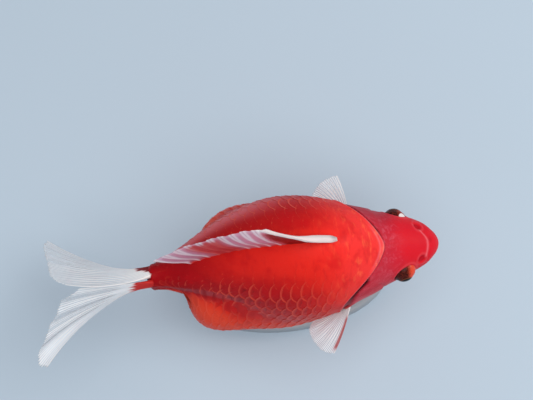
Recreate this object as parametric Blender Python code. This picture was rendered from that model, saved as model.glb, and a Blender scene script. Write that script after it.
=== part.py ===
"""A ryukin goldfish, life size, swimming and held on a plain display stand.

Metres, +Z up. +X is the way the fish faces and +Y is its left side. The origin is the centre of the
stand's underside. The body is one form given by its height and width along the spine, parted into
head, trunk and tail stalk by thin cuts. Every fin is a thin curved plate cut to meet the body.
"""

import math

import bmesh
import bpy
from mathutils import Matrix, Vector

# ---- Driving dimensions ------------------------------------------------------------------------
BODY_LENGTH = 0.112  # snout to tail root
SNOUT_X = 0.0566
SPINE_HEIGHT = 0.066  # of the snout above the floor
GAP = 0.0003  # between pieces that touch

# Along the body, in shares of its length: how far from the snout, then the height of the back, the
# depth of the underside, the half width, the height of the middle, and the spine's sway to the left.
BACK, UNDER, WIDTH, MIDDLE, SWAY = range(1, 6)
STATIONS = (
    (0.000, 0.034, -0.036, 0.042, -0.003, 0.000),  # lips
    (0.030, 0.050, -0.054, 0.058, -0.002, 0.002),
    (0.062, 0.069, -0.075, 0.078, 0.000, 0.003),  # nostrils
    (0.130, 0.115, -0.124, 0.107, 0.004, 0.005),  # eyes
    (0.195, 0.156, -0.167, 0.126, 0.004, 0.001),  # nape
    (0.240, 0.214, -0.198, 0.142, 0.006, -0.002),
    (0.300, 0.284, -0.233, 0.161, 0.010, -0.004),  # gill opening
    (0.370, 0.333, -0.266, 0.190, 0.014, -0.006),  # front of the back fin
    (0.460, 0.352, -0.293, 0.209, 0.016, -0.001),
    (0.570, 0.328, -0.296, 0.206, 0.016, 0.009),  # fullest girth
    (0.690, 0.262, -0.240, 0.165, 0.020, 0.020),
    (0.800, 0.183, -0.136, 0.115, 0.026, 0.019),
    (0.880, 0.122, -0.074, 0.080, 0.024, 0.009),
    (0.940, 0.088, -0.056, 0.053, 0.018, 0.006),  # narrowest of the tail stalk
    (1.000, 0.078, -0.060, 0.042, 0.010, 0.001),  # tail root
)
NOSE, TAIL_END = 0.045, 0.975  # where the round ends of the body begin
BACK_SQUARE, UNDER_SQUARE = 2.0, 2.15  # of its section, where 2 is an ellipse

# The belly is a pair of rounded sacs that swell out below and behind the rest.
BELLY_AT = 0.595
BELLY_SPREAD, BELLY_SINK = 0.034, 0.112  # of each sac's centre, out and down
BELLY_FRONT, BELLY_WIDE, BELLY_TALL = 0.272, 0.188, 0.212  # length ahead, half width, half height
BELLY_REAR = {1: (0.246, 2.5), -1: (0.292, 5.4)}  # left and right: length behind and squareness
BLEND = 18.0  # the higher, the sharper the crease between sacs and flank

# The line where head meets trunk: over the nape, round behind the gill cover and under the throat. It lies
# furthest forward a little to the right of the top, and reaches the gill opening a spread away from there.
NAPE, GILL, THROAT = 0.212, 0.352, 0.205
NAPE_TURN, SEAM_SPREAD = math.radians(7), math.radians(60)
SEAM_LEAN = 0.020  # how much further forward it lies on the left
SEAM_BOW, BOW_AT, BOW_WIDE = 0.012, math.radians(92), math.radians(26)  # its curve back at the gills
NAPE_FOLD, FOLD_FADE = 0.012, 0.10  # the back starts this much proud of the head
STALK = 0.888  # where trunk meets tail stalk

EYE_AT, EYE_OUT = {1: 0.144, -1: 0.138}, {1: 0.0790, -1: 0.0855}  # left and right
EYE_HEIGHT, EYE_RADIUS = 0.022, 0.0049
MOUTH_LENGTH, MOUTH_GAPE = 0.0048, 0.0007
COVER_FRONT, COVER_LOW, COVER_HIGH = 0.205, 128.0, 62.0  # the gill cover's edges, degrees from the top
COVER_THICK, COVER_SHORT = 0.0013, 0.024  # and how far it stops short of the trunk

FIN_THICK, FIRST_RAY = 0.0007, 0.0020  # of the webs, and how much more the back fin's first ray is
AROUND = 32  # corners of the body's section
SLIT = 0.0034  # of the thin cuts through the body, as a share of its length
ROOM = 0.0005  # how much larger than the body the fins are cut

BASE_LENGTH, BASE_WIDTH, BASE_THICK = 0.086, 0.041, 0.008
ROD_RADIUS, ROD_HOLE = 0.0020, 0.006
ROD_SPOTS = (0.015, -0.013)  # along the body


# ---- The body's form ---------------------------------------------------------------------------
def through(stations, at, column):
    """The value of one column at a place along the stations, on a smooth curve through them."""
    at = min(max(at, stations[0][0]), stations[-1][0])
    last = len(stations) - 2
    i = next(i for i in range(last + 1) if at <= stations[i + 1][0])

    def slope(k):
        low, high = max(k - 1, 0), min(k + 1, last + 1)
        rise = stations[high][column] - stations[low][column]
        return rise / (stations[high][0] - stations[low][0])

    x0, y0 = stations[i][0], stations[i][column]
    x1, y1 = stations[i + 1][0], stations[i + 1][column]
    h, k = x1 - x0, (at - x0) / (x1 - x0)
    return (
        y0 * (1 + 2 * k) * (1 - k) ** 2
        + y1 * k * k * (3 - 2 * k)
        + h * slope(i) * k * (1 - k) ** 2
        - h * slope(i + 1) * k * k * (1 - k)
    )


def seam(angle):
    """How far back the head reaches at an angle from the top of the back."""
    turned = math.remainder(angle + NAPE_TURN, math.tau)
    left = 0.5 + 0.5 * max(-1.0, min(1.0, 2 * math.sin(turned)))
    bow = math.exp(-(((abs(turned) - BOW_AT) / BOW_WIDE) ** 2))
    above = abs(turned) < math.pi / 2
    least, off = (NAPE, abs(turned)) if above else (THROAT, math.pi - abs(turned))
    share = min(off / SEAM_SPREAD, 1.0)
    back = least + (GILL - least) * share * share * (3 - 2 * share)
    return back + SEAM_BOW * bow - SEAM_LEAN * left


def flank(at, angle):
    """Distance from the spine to the muscle of head, back and stalk."""
    above, out = math.cos(angle), abs(math.sin(angle))
    edge, square = (BACK, BACK_SQUARE) if above > 0 else (UNDER, UNDER_SQUARE)
    height = abs(through(STATIONS, at, edge) - through(STATIONS, at, MIDDLE))
    across, up = out / through(STATIONS, at, WIDTH), abs(above) / height
    return (across**square + up**square) ** (-1 / square)


def sac(at, angle):
    """Distance from the spine to the outside of the nearer belly sac, or 0 in front of and behind it. The
    right sac reaches further back, as the fish turns."""
    left = 0.5 + 0.5 * max(-1.0, min(1.0, 1.6 * math.sin(angle)))
    length, square = (a * (1 - left) + b * left for a, b in zip(BELLY_REAR[-1], BELLY_REAR[1]))
    if at < BELLY_AT:
        length, square = BELLY_FRONT, 2.0
    inside = 1 - abs((at - BELLY_AT) / length) ** square
    if inside <= 0:
        return 0.0
    out, up = abs(math.sin(angle)) / BELLY_WIDE, math.cos(angle) / BELLY_TALL
    beside, below = BELLY_SPREAD / BELLY_WIDE, -(BELLY_SINK + through(STATIONS, at, MIDDLE)) / BELLY_TALL
    a, b = out * out + up * up, out * beside + up * below
    root = b * b - a * (beside * beside + below * below - inside)
    return max(b + math.sqrt(root), 0.0) / a if root > 0 else 0.0


def rounded(share):
    """The height of a round end, from 1 where it begins to 0 at its tip."""
    return math.sqrt(1 - min(max(share, 0.0), 1.0) ** 2)


def body_point(at, angle, fold=False, grow=0.0):
    """A point of the body's surface: at runs from 0 at the snout to 1 at the tail root, and angle from the
    top of the back towards the fish's left. fold adds the rise of the back behind the head."""
    at = min(max(at, 0.0), 1.0)
    dome = rounded((NOSE - at) / NOSE) * rounded((at - TAIL_END) / (1 - TAIL_END))
    reach = (flank(at, angle) ** BLEND + sac(at, angle) ** BLEND) ** (1 / BLEND)
    if fold:
        behind = max(at - seam(angle), 0.0)
        reach += NAPE_FOLD * max(math.cos(angle), 0.0) ** 1.2 * math.exp(-behind / FOLD_FADE)
    reach = dome * reach * BODY_LENGTH + grow
    return spine(at) + Vector((0, reach * math.sin(angle), reach * math.cos(angle)))


def spine(at):
    """The middle of the body at a share of its length from the snout."""
    place = Vector((-at, through(STATIONS, at, SWAY), through(STATIONS, at, MIDDLE)))
    return Vector((SNOUT_X, 0, SPINE_HEIGHT)) + place * BODY_LENGTH


# ---- Building blocks ---------------------------------------------------------------------------
def finished(name, bm, material):
    """Makes a mesh object of a bmesh, shaded smooth except at sharp edges."""
    bmesh.ops.recalc_face_normals(bm, faces=bm.faces)
    if bm.calc_volume(signed=True) < 0:
        bmesh.ops.reverse_faces(bm, faces=bm.faces)
    mesh = bpy.data.meshes.new(name)
    bm.to_mesh(mesh)
    bm.free()
    mesh.shade_smooth()
    mesh.set_sharp_from_angle(angle=math.radians(50))
    obj = bpy.data.objects.new(name, mesh)
    bpy.context.scene.collection.objects.link(obj)
    if material is None:
        obj.hide_render = True
        obj.display_type = "WIRE"
    else:
        mesh.materials.append(material)
    return obj


def closed_form(name, along, place, material):
    """A closed form from a sphere: place(share, angle) gives a point, where share runs from one pole to the
    other and angle round it."""
    bm = bmesh.new()
    bmesh.ops.create_uvsphere(bm, u_segments=AROUND, v_segments=along, radius=1.0)
    for vert in bm.verts:
        share = math.acos(max(-1.0, min(1.0, vert.co.z))) / math.pi
        vert.co = place(share, math.atan2(vert.co.y, vert.co.x))
    bmesh.ops.remove_doubles(bm, verts=bm.verts, dist=1e-6)
    return finished(name, bm, material)


def plate(name, across, along, surface, thick, material, ends=(-0.5, 0.5)):
    """A thin closed plate bent to surface(u, v), with u along its root and v out along it. thick(u, v) is its
    thickness there, and ends say where its two faces lie in it, as shares of that."""
    bm = bmesh.new()
    bmesh.ops.create_grid(bm, x_segments=across, y_segments=along, size=0.5)
    far_side = bmesh.ops.extrude_face_region(bm, geom=bm.faces[:])["geom"]
    moved = [item for item in far_side if isinstance(item, bmesh.types.BMVert)]
    bmesh.ops.translate(bm, verts=moved, vec=(0, 0, 1))
    step = 0.01
    for vert in bm.verts:
        u, v, side = vert.co.x + 0.5, vert.co.y + 0.5, ends[1 if vert.co.z > 0.5 else 0]
        along_u = surface(u + step, v) - surface(u - step, v)
        along_v = surface(u, v + step) - surface(u, v - step)
        normal = along_u.cross(along_v).normalized()
        vert.co = surface(u, v) + normal * side * thick(u, v)
    return finished(name, bm, material)


def use_cutter(obj, cutter, operation="DIFFERENCE"):
    """Cuts obj by another object, or keeps only what lies inside it, and applies the result."""
    cut = obj.modifiers.new(cutter.name, "BOOLEAN")
    cut.operation, cut.solver, cut.object = operation, "EXACT", cutter
    graph = bpy.context.evaluated_depsgraph_get()
    mesh = bpy.data.meshes.new_from_object(obj.evaluated_get(graph))
    obj.modifiers.clear()
    obj.data = mesh
    return obj


def paint(name, colour, roughness, metallic=0.0):
    """A plain material of one colour."""
    material = bpy.data.materials.new(name)
    material.use_nodes = True
    shader = material.node_tree.nodes["Principled BSDF"]
    shader.inputs["Base Color"].default_value = (*colour, 1)
    shader.inputs["Roughness"].default_value = roughness
    shader.inputs["Metallic"].default_value = metallic
    return material


# ---- Head, trunk and stalk ---------------------------------------------------------------------
def body_piece(name, rings, front, rear, hubs, fold, material):
    """A length of the body between two edges, each of which is a function of the angle, or None for the
    snout. rings says how many rings close the front, run along the surface and close the rear, where hubs
    are the points that the closing faces run in to."""
    closing, along, ending = rings
    total = closing + along + ending

    def place(share, angle):
        ring = round(share * total)
        start = front(angle) if front else 0.0
        end = rear(angle)
        if ring < closing:
            return hubs[0].lerp(body_point(start, angle), ring / (closing - 1))
        if ring > total - ending:
            return hubs[1].lerp(body_point(end, angle), (total - ring) / ending)
        run = (ring - closing) / along
        return body_point(start + (end - start) * run ** (1.0 if front else 1.7), angle, fold)

    return closed_form(name, total, place, material)


def head_piece(skin):
    """The head, from the snout back to the seam, hollowed behind where the trunk fits in."""
    return body_piece("head", (0, 13, 3), None, seam, (None, spine(THROAT)), False, skin)


def trunk_piece(skin):
    """The trunk, from the seam back to the stalk. The back starts proud of the head."""
    hubs = (spine(THROAT + SLIT), spine(STALK))
    return body_piece(
        "trunk", (4, 21, 2), lambda angle: seam(angle) + SLIT, lambda angle: STALK, hubs, True, skin
    )


def stalk_piece(skin):
    """The tail stalk, rounded off at the tail root."""
    hubs = (spine(STALK + SLIT), None)
    return body_piece(
        "tail_stalk", (3, 7, 0), lambda angle: STALK + SLIT, lambda angle: 1.0, hubs, True, skin
    )


def body_room():
    """The whole body a little larger, which fins are cut by."""

    def place(share, angle):
        at = 1 - (1 - share) ** 1.3
        grown = ROOM * min(1.0, share * 12)
        longer = Vector((-ROOM * share, 0, 0))
        return body_point(at, angle, fold=at >= seam(angle), grow=grown) + longer

    return closed_form("body_room", 44, place, None)


def eye_centre(side):
    return spine(EYE_AT[side]) + Vector((0, side * EYE_OUT[side], EYE_HEIGHT)) * BODY_LENGTH


def ball(name, centre, radius, material):
    bm = bmesh.new()
    bmesh.ops.create_uvsphere(bm, u_segments=16, v_segments=8, radius=radius)
    bmesh.ops.rotate(bm, verts=bm.verts, matrix=Matrix.Rotation(math.pi / 2, 3, "X"))
    bmesh.ops.translate(bm, verts=bm.verts, vec=centre)
    return finished(name, bm, material)


def block(name, low, high, material):
    """A box between two corners."""
    bm = bmesh.new()
    bmesh.ops.create_cube(bm, size=1.0)
    size = Vector(high) - Vector(low)
    bmesh.ops.scale(bm, verts=bm.verts, vec=size)
    bmesh.ops.translate(bm, verts=bm.verts, vec=(Vector(high) + Vector(low)) / 2)
    return finished(name, bm, material)


def part_eyes(head, eye):
    """Sets an eyeball in a socket on each side."""
    for side, word in ((1, "left"), (-1, "right")):
        centre = eye_centre(side)
        ball("eye_" + word, centre, EYE_RADIUS, eye)
        use_cutter(head, ball("socket_" + word, centre, EYE_RADIUS + GAP, None))


def part_covers(head, skin):
    """Parts a gill cover from each cheek, as a plate in a recess."""
    for side, word in ((1, "left"), (-1, "right")):

        def cheek(u, v, margin=0.0, side=side):
            angle = math.radians(COVER_HIGH + (COVER_LOW - COVER_HIGH) * u)
            bow = COVER_FRONT + 0.02 * (2 * u - 1) ** 2
            at = bow + (seam(angle) - COVER_SHORT + margin - bow) * v
            return body_point(at, side * angle)

        def wider(u, v, cheek=cheek):
            return cheek(-0.012 + 1.024 * u, -0.02 + 1.02 * v, 0.003)

        outside = (0.0, -1.0) if side > 0 else (1.0, 0.0)
        deeper = (1.0, -1.0 - GAP / COVER_THICK)
        deeper = deeper if side > 0 else (-deeper[1], -deeper[0])
        recess = plate("recess_" + word, 7, 5, wider, lambda u, v: COVER_THICK, None, deeper)
        use_cutter(head, recess)
        plate("gill_cover_" + word, 7, 5, cheek, lambda u, v: COVER_THICK, skin, outside)


def part_jaw(head, skin):
    """Parts the lower jaw from the head by a level cut, the mouth, and an upright one behind it."""
    lip = spine(0.0) + Vector((0, 0, -0.0006))
    reach, gape = MOUTH_LENGTH, MOUTH_GAPE
    low, high = lip + Vector((-reach, -0.02, -0.02)), lip + Vector((0.01, 0.02, 0))
    jaw = head.copy()
    jaw.data = head.data.copy()
    jaw.name = "lower_jaw"
    bpy.context.scene.collection.objects.link(jaw)
    use_cutter(jaw, block("jaw_block", low, high, None), "INTERSECT")
    use_cutter(head, block("jaw_room", low - Vector((GAP, 0, 0)), high + Vector((0, 0, gape)), None))


# ---- Fins --------------------------------------------------------------------------------------
def heading(turn, rise):
    """The direction that points back along the fish, turned to its left and raised, in degrees."""
    turn, rise = math.radians(turn), math.radians(rise)
    return Vector((-math.cos(turn) * math.cos(rise), math.sin(turn) * math.cos(rise), math.sin(rise)))


def mix(low, high, share):
    return low + (high - low) * share


def fan(root, turns, rises, length, bend, start=0.0):
    """The middle surface of a fin: root(u) is where ray u starts, turns and rises are the headings of the
    first and the last ray at the root, length(u) is each ray's length, and bend is how many degrees the
    rays turn and rise by their tips, from a share of their length, start, on."""
    steps = 6

    def surface(u, v):
        point = root(u)
        for k in range(steps):
            part = max(0.0, (k + 0.5) / steps * v - start) / (1 - start)
            turn = mix(turns[0], turns[1], u) + bend(u)[0] * part
            rise = mix(rises[0], rises[1], u) + bend(u)[1] * part
            point = point + heading(turn, rise) * (length(u) * v / steps)
        return point

    return surface


def tapered(root_thick, until=0.3):
    """Thickness that falls from a fleshy root to the web of the fin."""
    return lambda u, v: FIN_THICK + (root_thick - FIN_THICK) * max(0.0, 1 - v / until) ** 2


def corner(share):
    """How much of a fin's corner is rounded off: 1 at its edge ray and 0 from share 1 on."""
    return (1 - min(max(share, 0.0), 1.0)) ** 2


def back_fin():
    """The middle surface of the fin along the back, swept back and leaning a little to the left."""
    front, rear = 0.346, 0.835

    def root(u):
        aside = 0.012 * (1 - u) ** 2
        return body_point(mix(front, rear, u), aside, fold=True) - Vector((0, 0, 0.0015))

    def length(u):
        return (0.038 - 0.035 * u + 0.012 * u * u) * (1 - 0.06 * corner(u * 5))

    def bend(u):
        return 24 - 12 * u * u, -16 + 8 * u

    return fan(root, (-2, 1), (44, 22), length, bend, start=0.35)


def back_fin_thick(u, v):
    """Thickness of the fin along the back, whose first ray is a stout spine that thins towards its tip."""
    first = max(0.0, 1 - u / 0.06)
    stout = FIRST_RAY * min(1.0, max(0.0, (0.72 - v) / 0.35))
    return mix(tapered(0.0022)(u, v), FIN_THICK + stout, first)


def breast_fin(side):
    """The middle surface of a pectoral fin, spread like a paddle low behind the gill cover."""
    reach, back = (0.0188, -0.018) if side > 0 else (0.0218, 0.022)
    lead, trail = (94, 16) if side > 0 else (74, 22)

    def root(u):
        along = body_point(mix(0.304, 0.330, u) + back, side * math.radians(mix(110, 124, u)))
        return along - heading(side * mix(lead, trail, u), -12) * 0.002

    def length(u):
        return 0.002 + reach * (1 - 0.30 * u) * (1 - 0.10 * corner(u * 3)) * (1 - 0.2 * corner((1 - u) * 3))

    return fan(root, (side * lead, side * trail), (-10, -14), length, lambda u: (-side * 18, -10))


def belly_fin(side):
    """The middle surface of a pelvic fin, trailing under the belly."""

    def root(u):
        at, angle = mix(0.455, 0.505, u), side * math.radians(mix(158, 164, u))
        return body_point(at, angle) + Vector((0, 0, 0.0015))

    def length(u):
        return 0.0215 * (1 - 0.30 * u)

    return fan(root, (side * 26, side * 6), (-30, -22), length, lambda u: (-side * 6, 16))


def vent_fin(side):
    """The middle surface of one of the paired anal fins, under the tail stalk."""

    def root(u):
        at, angle = mix(0.900, 0.950, u), side * math.radians(mix(166, 162, u))
        return body_point(at, angle) + Vector((0, 0, 0.0012))

    def length(u):
        return 0.0140 * (1 - 0.35 * u)

    return fan(root, (6 + side * 3, 4 + side * 3), (-58, -30), length, lambda u: (side * 3, 14))


# Each half of the double tail: the headings of its top ray and its bottom ray where they leave the root,
# how far each turns and rises by its tip, the lengths of its top, middle and bottom rays, the depth of its
# pleats, how far its lower corner is cut back and how far its root bulges to the left.
TAIL = {
    1: {
        "turns": (-20, 16),
        "rises": (28, -30),
        "bends": ((34, -8), (24, 6)),
        "lengths": (0.040, 0.041, 0.056),
        "pleat": 0.0,
        "blunt": 0.02,
        "bulge": 0.0026,
    },
    -1: {
        "turns": (0, -11),
        "rises": (17, -14),
        "bends": ((0, -4), (-38, 2)),
        "lengths": (0.033, 0.042, 0.062),
        "pleat": 0.0010,
        "blunt": 0.12,
        "bulge": -0.0014,
    },
}


def tail_half(side):
    """The middle surface of one half of the double tail, from its top edge to its bottom edge. The left
    half is smooth and the right one falls in soft pleats."""
    half = TAIL[side]
    top = spine(0.975) + Vector((0, side * 0.0012 - 0.0016, 0.0068))
    low = spine(0.985) + Vector((0, side * 0.0014 + 0.0008, -0.0052))
    first, middle, last = half["lengths"]

    def root(u):
        return top.lerp(low, u) + Vector((0, half["bulge"], 0)) * math.sin(math.pi * u)

    def length(u):
        curve = 2 * (first + last) - 4 * middle
        straight = first + (4 * middle - 3 * first - last) * u + curve * u * u
        return straight * (1 - 0.16 * corner(u / 0.22)) * (1 - half["blunt"] * corner((1 - u) / 0.20))

    def bend(u):
        return tuple(mix(a, b, u) for a, b in zip(*half["bends"]))

    smooth = fan(root, half["turns"], half["rises"], length, bend)

    def surface(u, v):
        pleat = half["pleat"] * math.sin(u * 7 * math.pi) * max(v - 0.15, 0) * (1 - 0.5 * u)
        return smooth(u, v) + Vector((0, side * pleat, pleat))

    return surface


def build_fins(fin, room):
    """All the fins, each cut to meet the body."""
    thin = tapered(0.0018)
    use_cutter(plate("dorsal_fin", 16, 6, back_fin(), back_fin_thick, fin), room)
    for side, word in ((1, "left"), (-1, "right")):
        use_cutter(plate("pectoral_fin_" + word, 9, 6, breast_fin(side), thin, fin), room)
        use_cutter(plate("pelvic_fin_" + word, 7, 5, belly_fin(side), thin, fin), room)
        use_cutter(plate("anal_fin_" + word, 5, 4, vent_fin(side), tapered(0.0014), fin), room)
        use_cutter(plate("tail_fin_" + word, 18, 8, tail_half(side), thin, fin), room)


# ---- The stand ---------------------------------------------------------------------------------
def rod_shape(name, x, low, high, radius, material):
    bm = bmesh.new()
    bmesh.ops.create_cone(
        bm, cap_ends=True, segments=14, radius1=radius, radius2=radius, depth=high - low
    )
    bmesh.ops.translate(bm, verts=bm.verts, vec=(x, spine_sway(x), (low + high) / 2))
    return finished(name, bm, material)


def spine_sway(x):
    return spine((SNOUT_X - x) / BODY_LENGTH).y


def build_stand(trunk, paint_base, steel):
    """An oval plate with a rounded rim, and two rods set in it that reach up into the belly."""
    bm = bmesh.new()
    bmesh.ops.create_cone(
        bm, cap_ends=True, segments=36, radius1=0.5, radius2=0.5, depth=BASE_THICK
    )
    bmesh.ops.scale(bm, verts=bm.verts, vec=(BASE_LENGTH, BASE_WIDTH, 1))
    bmesh.ops.translate(bm, verts=bm.verts, vec=(0, 0, BASE_THICK / 2))
    rim = [e for e in bm.edges if all(abs(v.co.z - BASE_THICK) < 1e-6 for v in e.verts)]
    bmesh.ops.bevel(
        bm, geom=rim, offset=0.0018, segments=3, profile=0.5, affect="EDGES", material=-1
    )
    base = finished("stand_base", bm, paint_base)
    for x, word in zip(ROD_SPOTS, ("front", "rear")):
        at = (SNOUT_X - x) / BODY_LENGTH
        belly = body_point(at, math.pi).z
        foot, top = BASE_THICK - ROD_HOLE + GAP, belly + ROD_HOLE
        rod_shape("stand_rod_" + word, x, foot, top, ROD_RADIUS, steel)
        room = rod_shape("rod_room_" + word, x, foot - GAP, top + GAP, ROD_RADIUS + GAP, None)
        use_cutter(base, room)
        use_cutter(trunk, room)


def clear_scene():
    for obj in list(bpy.data.objects):
        bpy.data.objects.remove(obj)


def build():
    clear_scene()
    skin = paint("red_skin", (0.72, 0.035, 0.02), 0.35)
    fin = paint("white_fin", (0.82, 0.76, 0.74), 0.40)
    eye = paint("dark_eye", (0.09, 0.02, 0.012), 0.10)
    painted = paint("painted_steel", (0.62, 0.64, 0.66), 0.45)
    steel = paint("brushed_steel", (0.60, 0.60, 0.60), 0.30, metallic=1.0)
    head = head_piece(skin)
    part_eyes(head, eye)
    part_covers(head, skin)
    part_jaw(head, skin)
    trunk = trunk_piece(skin)
    stalk_piece(skin)
    build_fins(fin, body_room())
    build_stand(trunk, painted, steel)


build()
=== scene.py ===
"""A ryukin goldfish, life size, swimming and held on a plain display stand: skin, scales, fins, eyes and
finishes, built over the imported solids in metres, +Z up, with the fish facing +X and its left at +Y."""

import math

import bmesh
import bpy
import numpy as np
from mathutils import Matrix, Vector


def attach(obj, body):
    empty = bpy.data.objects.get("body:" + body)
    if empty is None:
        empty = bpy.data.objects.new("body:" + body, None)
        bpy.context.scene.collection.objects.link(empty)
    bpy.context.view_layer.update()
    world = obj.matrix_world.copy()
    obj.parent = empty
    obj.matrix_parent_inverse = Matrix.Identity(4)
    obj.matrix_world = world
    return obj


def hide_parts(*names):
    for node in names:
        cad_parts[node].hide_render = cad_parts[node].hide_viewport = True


bl_info = {
    "name": "Ryukin Goldfish",
    "version": (1, 0, 0),
    "blender": (4, 5, 0),
    "location": "View3D > Sidebar > Goldfish",
    "description": "Dresses a display model of a ryukin goldfish with skin, scales, fins and eyes",
    "category": "Object",
}

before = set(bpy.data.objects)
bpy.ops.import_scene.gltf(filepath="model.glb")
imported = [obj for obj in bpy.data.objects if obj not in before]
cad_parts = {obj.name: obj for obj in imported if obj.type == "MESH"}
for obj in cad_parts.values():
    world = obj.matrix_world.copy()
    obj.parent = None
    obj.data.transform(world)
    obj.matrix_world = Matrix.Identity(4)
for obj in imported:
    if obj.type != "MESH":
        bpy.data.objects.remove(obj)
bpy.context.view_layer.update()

# ---- The form of the fish, in metres and in shares of the body's length -------------------------
BODY_LENGTH = 0.112  # snout to tail root
SNOUT_X = 0.0566
SPINE_HEIGHT = 0.066

# How far from the snout, then the height of the back, the depth of the underside, the half width,
# the height of the middle, and the spine's sway to the left.
BACK, UNDER, WIDTH, MIDDLE, SWAY = range(1, 6)
STATIONS = (
    (0.000, 0.034, -0.036, 0.042, -0.003, 0.000),  # lips
    (0.030, 0.050, -0.054, 0.058, -0.002, 0.002),
    (0.062, 0.069, -0.075, 0.078, 0.000, 0.003),  # nostrils
    (0.130, 0.115, -0.124, 0.107, 0.004, 0.005),  # eyes
    (0.195, 0.156, -0.167, 0.126, 0.004, 0.001),  # nape
    (0.240, 0.214, -0.198, 0.142, 0.006, -0.002),
    (0.300, 0.284, -0.233, 0.161, 0.010, -0.004),  # gill opening
    (0.370, 0.333, -0.266, 0.190, 0.014, -0.006),  # front of the back fin
    (0.460, 0.352, -0.293, 0.209, 0.016, -0.001),
    (0.570, 0.328, -0.296, 0.206, 0.016, 0.009),  # fullest girth
    (0.690, 0.262, -0.240, 0.165, 0.020, 0.020),
    (0.800, 0.183, -0.136, 0.115, 0.026, 0.019),
    (0.880, 0.122, -0.074, 0.080, 0.024, 0.009),
    (0.940, 0.088, -0.056, 0.053, 0.018, 0.006),  # narrowest of the tail stalk
    (1.000, 0.078, -0.060, 0.042, 0.010, 0.001),  # tail root
)
NOSE, TAIL_END = 0.045, 0.975
BACK_SQUARE, UNDER_SQUARE = 2.0, 2.15
BELLY_AT = 0.595
BELLY_SPREAD, BELLY_SINK = 0.034, 0.112
BELLY_FRONT, BELLY_WIDE, BELLY_TALL = 0.272, 0.188, 0.212
BELLY_REAR = {1: (0.246, 2.5), -1: (0.292, 5.4)}  # left and right: length behind and squareness
BLEND = 18.0
# The line where head meets trunk: least at the nape and throat, and all the way back at the gill opening.
# The head is turned a little to the right of the back, so what is on it is measured from its own middle.
NAPE, GILL, THROAT = 0.212, 0.352, 0.205
HEAD_TURN, SEAM_SPREAD = math.radians(7), math.radians(60)
SEAM_LEAN = 0.020  # how much further forward it lies on the left
SEAM_BOW, BOW_AT, BOW_WIDE = 0.012, math.radians(92), math.radians(26)  # its curve back at the gills
NAPE_FOLD, FOLD_FADE = 0.012, 0.10

EYE_AT, EYE_OUT = {1: 0.144, -1: 0.138}, {1: 0.0790, -1: 0.0855}  # left and right
EYE_HEIGHT, EYE_RADIUS = 0.022, 0.0049
COVER_FRONT, COVER_LOW, COVER_HIGH = 0.205, 128.0, 62.0
NOSTRIL_AT, NOSTRIL_ANGLE, NOSTRIL_RADIUS = 0.0715, 46.0, 0.0019
EYE_OPEN_UP = 0.36  # how far the lids' opening is tilted up
# where the left eye has a painted highlight, a white glint
PAINTED_GLINT_AT = (0.68, 0.08, 0.73)  # where the left eye has a white patch
LEFT, RIGHT = 1, -1
SIDES = ((LEFT, "left"), (RIGHT, "right"))

SKIN_AROUND, SKIN_ALONG = 256, 376
ROW_LEAST = 8.0  # rows of scales on each side of the tail stalk
COAT_START, COAT_END = 0.15, 0.972  # where the tables of the coat begin and the last scales lie
BEHIND_SEAM, CLEAR_OF_SEAM = 0.024, 0.004  # the first scales' middles, and how far forward any reaches
STEEP, SPREAD_END = 1.35, 1.12  # how far scales stretch behind the belly, and where their rows end
SMOOTH_ROWS = 9
LEAST_FLAT = 0.55  # how nearly parallel all parts of a scale have to be
FIRST_COLUMN, SPREAD_FROM = 0.196, 0.66  # where the rows begin, and from where on they are spread
SCALE_CORNERS = 14
SCALE_LONG, SCALE_WIDE = 0.98, 0.84  # half sizes as shares of the room between scales
SCALE_STRAY = 0.0012  # how far forward or back a scale lies out of its row
ROOT_SUNK, SCALE_THICK = 0.00022, 0.00013  # in metres
BAKE_PATCH = 0.003  # the width of a scale's patch on the bake map
SEED = 7


def colour(code, alpha=None):
    """The linear colour of an sRGB hex code."""
    parts = [int(code[i : i + 2], 16) / 255 for i in (0, 2, 4)]
    linear = [p / 12.92 if p <= 0.04045 else ((p + 0.055) / 1.055) ** 2.4 for p in parts]
    return (*linear, alpha) if alpha is not None else tuple(linear)


# ---- Settings a user would change ---------------------------------------------------------------
def length(name, description, default):
    """A length that a user can change."""
    return bpy.props.FloatProperty(name=name, description=description, default=default, unit="LENGTH")


def pigment(name, description, code):
    """A colour that a user can change."""
    return bpy.props.FloatVectorProperty(
        name=name, description=description, subtype="COLOR", default=colour(code)
    )


class GoldfishSizes(bpy.types.PropertyGroup):
    """Sizes of the scales and fin rays"""

    coat_depth: length("Coat depth", "How far the skin lies under the tips of the scales", 0.00035)
    scale_rows: bpy.props.FloatProperty(
        name="Scale rows",
        description="Rows of scales on each side of the belly, from back to underside",
        default=14.0,
    )
    scale_step: length("Scale step", "How much of each scale shows, where the body is fullest", 0.0037)
    scale_lift: length("Scale lift", "How far the rear edge of a scale stands off the skin", 0.00026)
    ray_thick: length("Ray thickness", "Thickness of a fin at its rays", 0.00046)
    web_thick: length("Web thickness", "Thickness of a fin between its rays", 0.00020)


class GoldfishColours(bpy.types.PropertyGroup):
    """Colours of the fish, its stand and the floor"""

    red: pigment("Red", "Main red of the back", "e2281f")
    deep_red: pigment("Deep red", "Crimson of the upper flanks and the tail stalk", "a30d17")
    orange: pigment("Orange", "Orange red of the belly and the flecks on the hump", "e84a30")
    # rose is also the colour of the painted highlights along the trunk's rim
    cap: pigment("Head red", "Smooth crimson of the head", "d11c29")
    rose: pigment("Rose", "Pale pink of folds and lips", "f0838c")
    scale_edge: pigment("Scale edge", "Orange pink of the rear edges of the scales", "e4523f")
    fin_white: pigment("Fin white", "White of the fin rays", "f7f4f2")
    web: pigment("Fin web", "Pale blue-grey of the web between the rays", "dfe7f0")
    iris: pigment("Iris", "Dark copper of the iris", "5c1d14")
    stand: pigment("Stand", "Paint of the stand's base", "9aa1a8")
    floor: pigment("Floor", "Pale cool grey of the floor", "b3c2cf")


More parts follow.
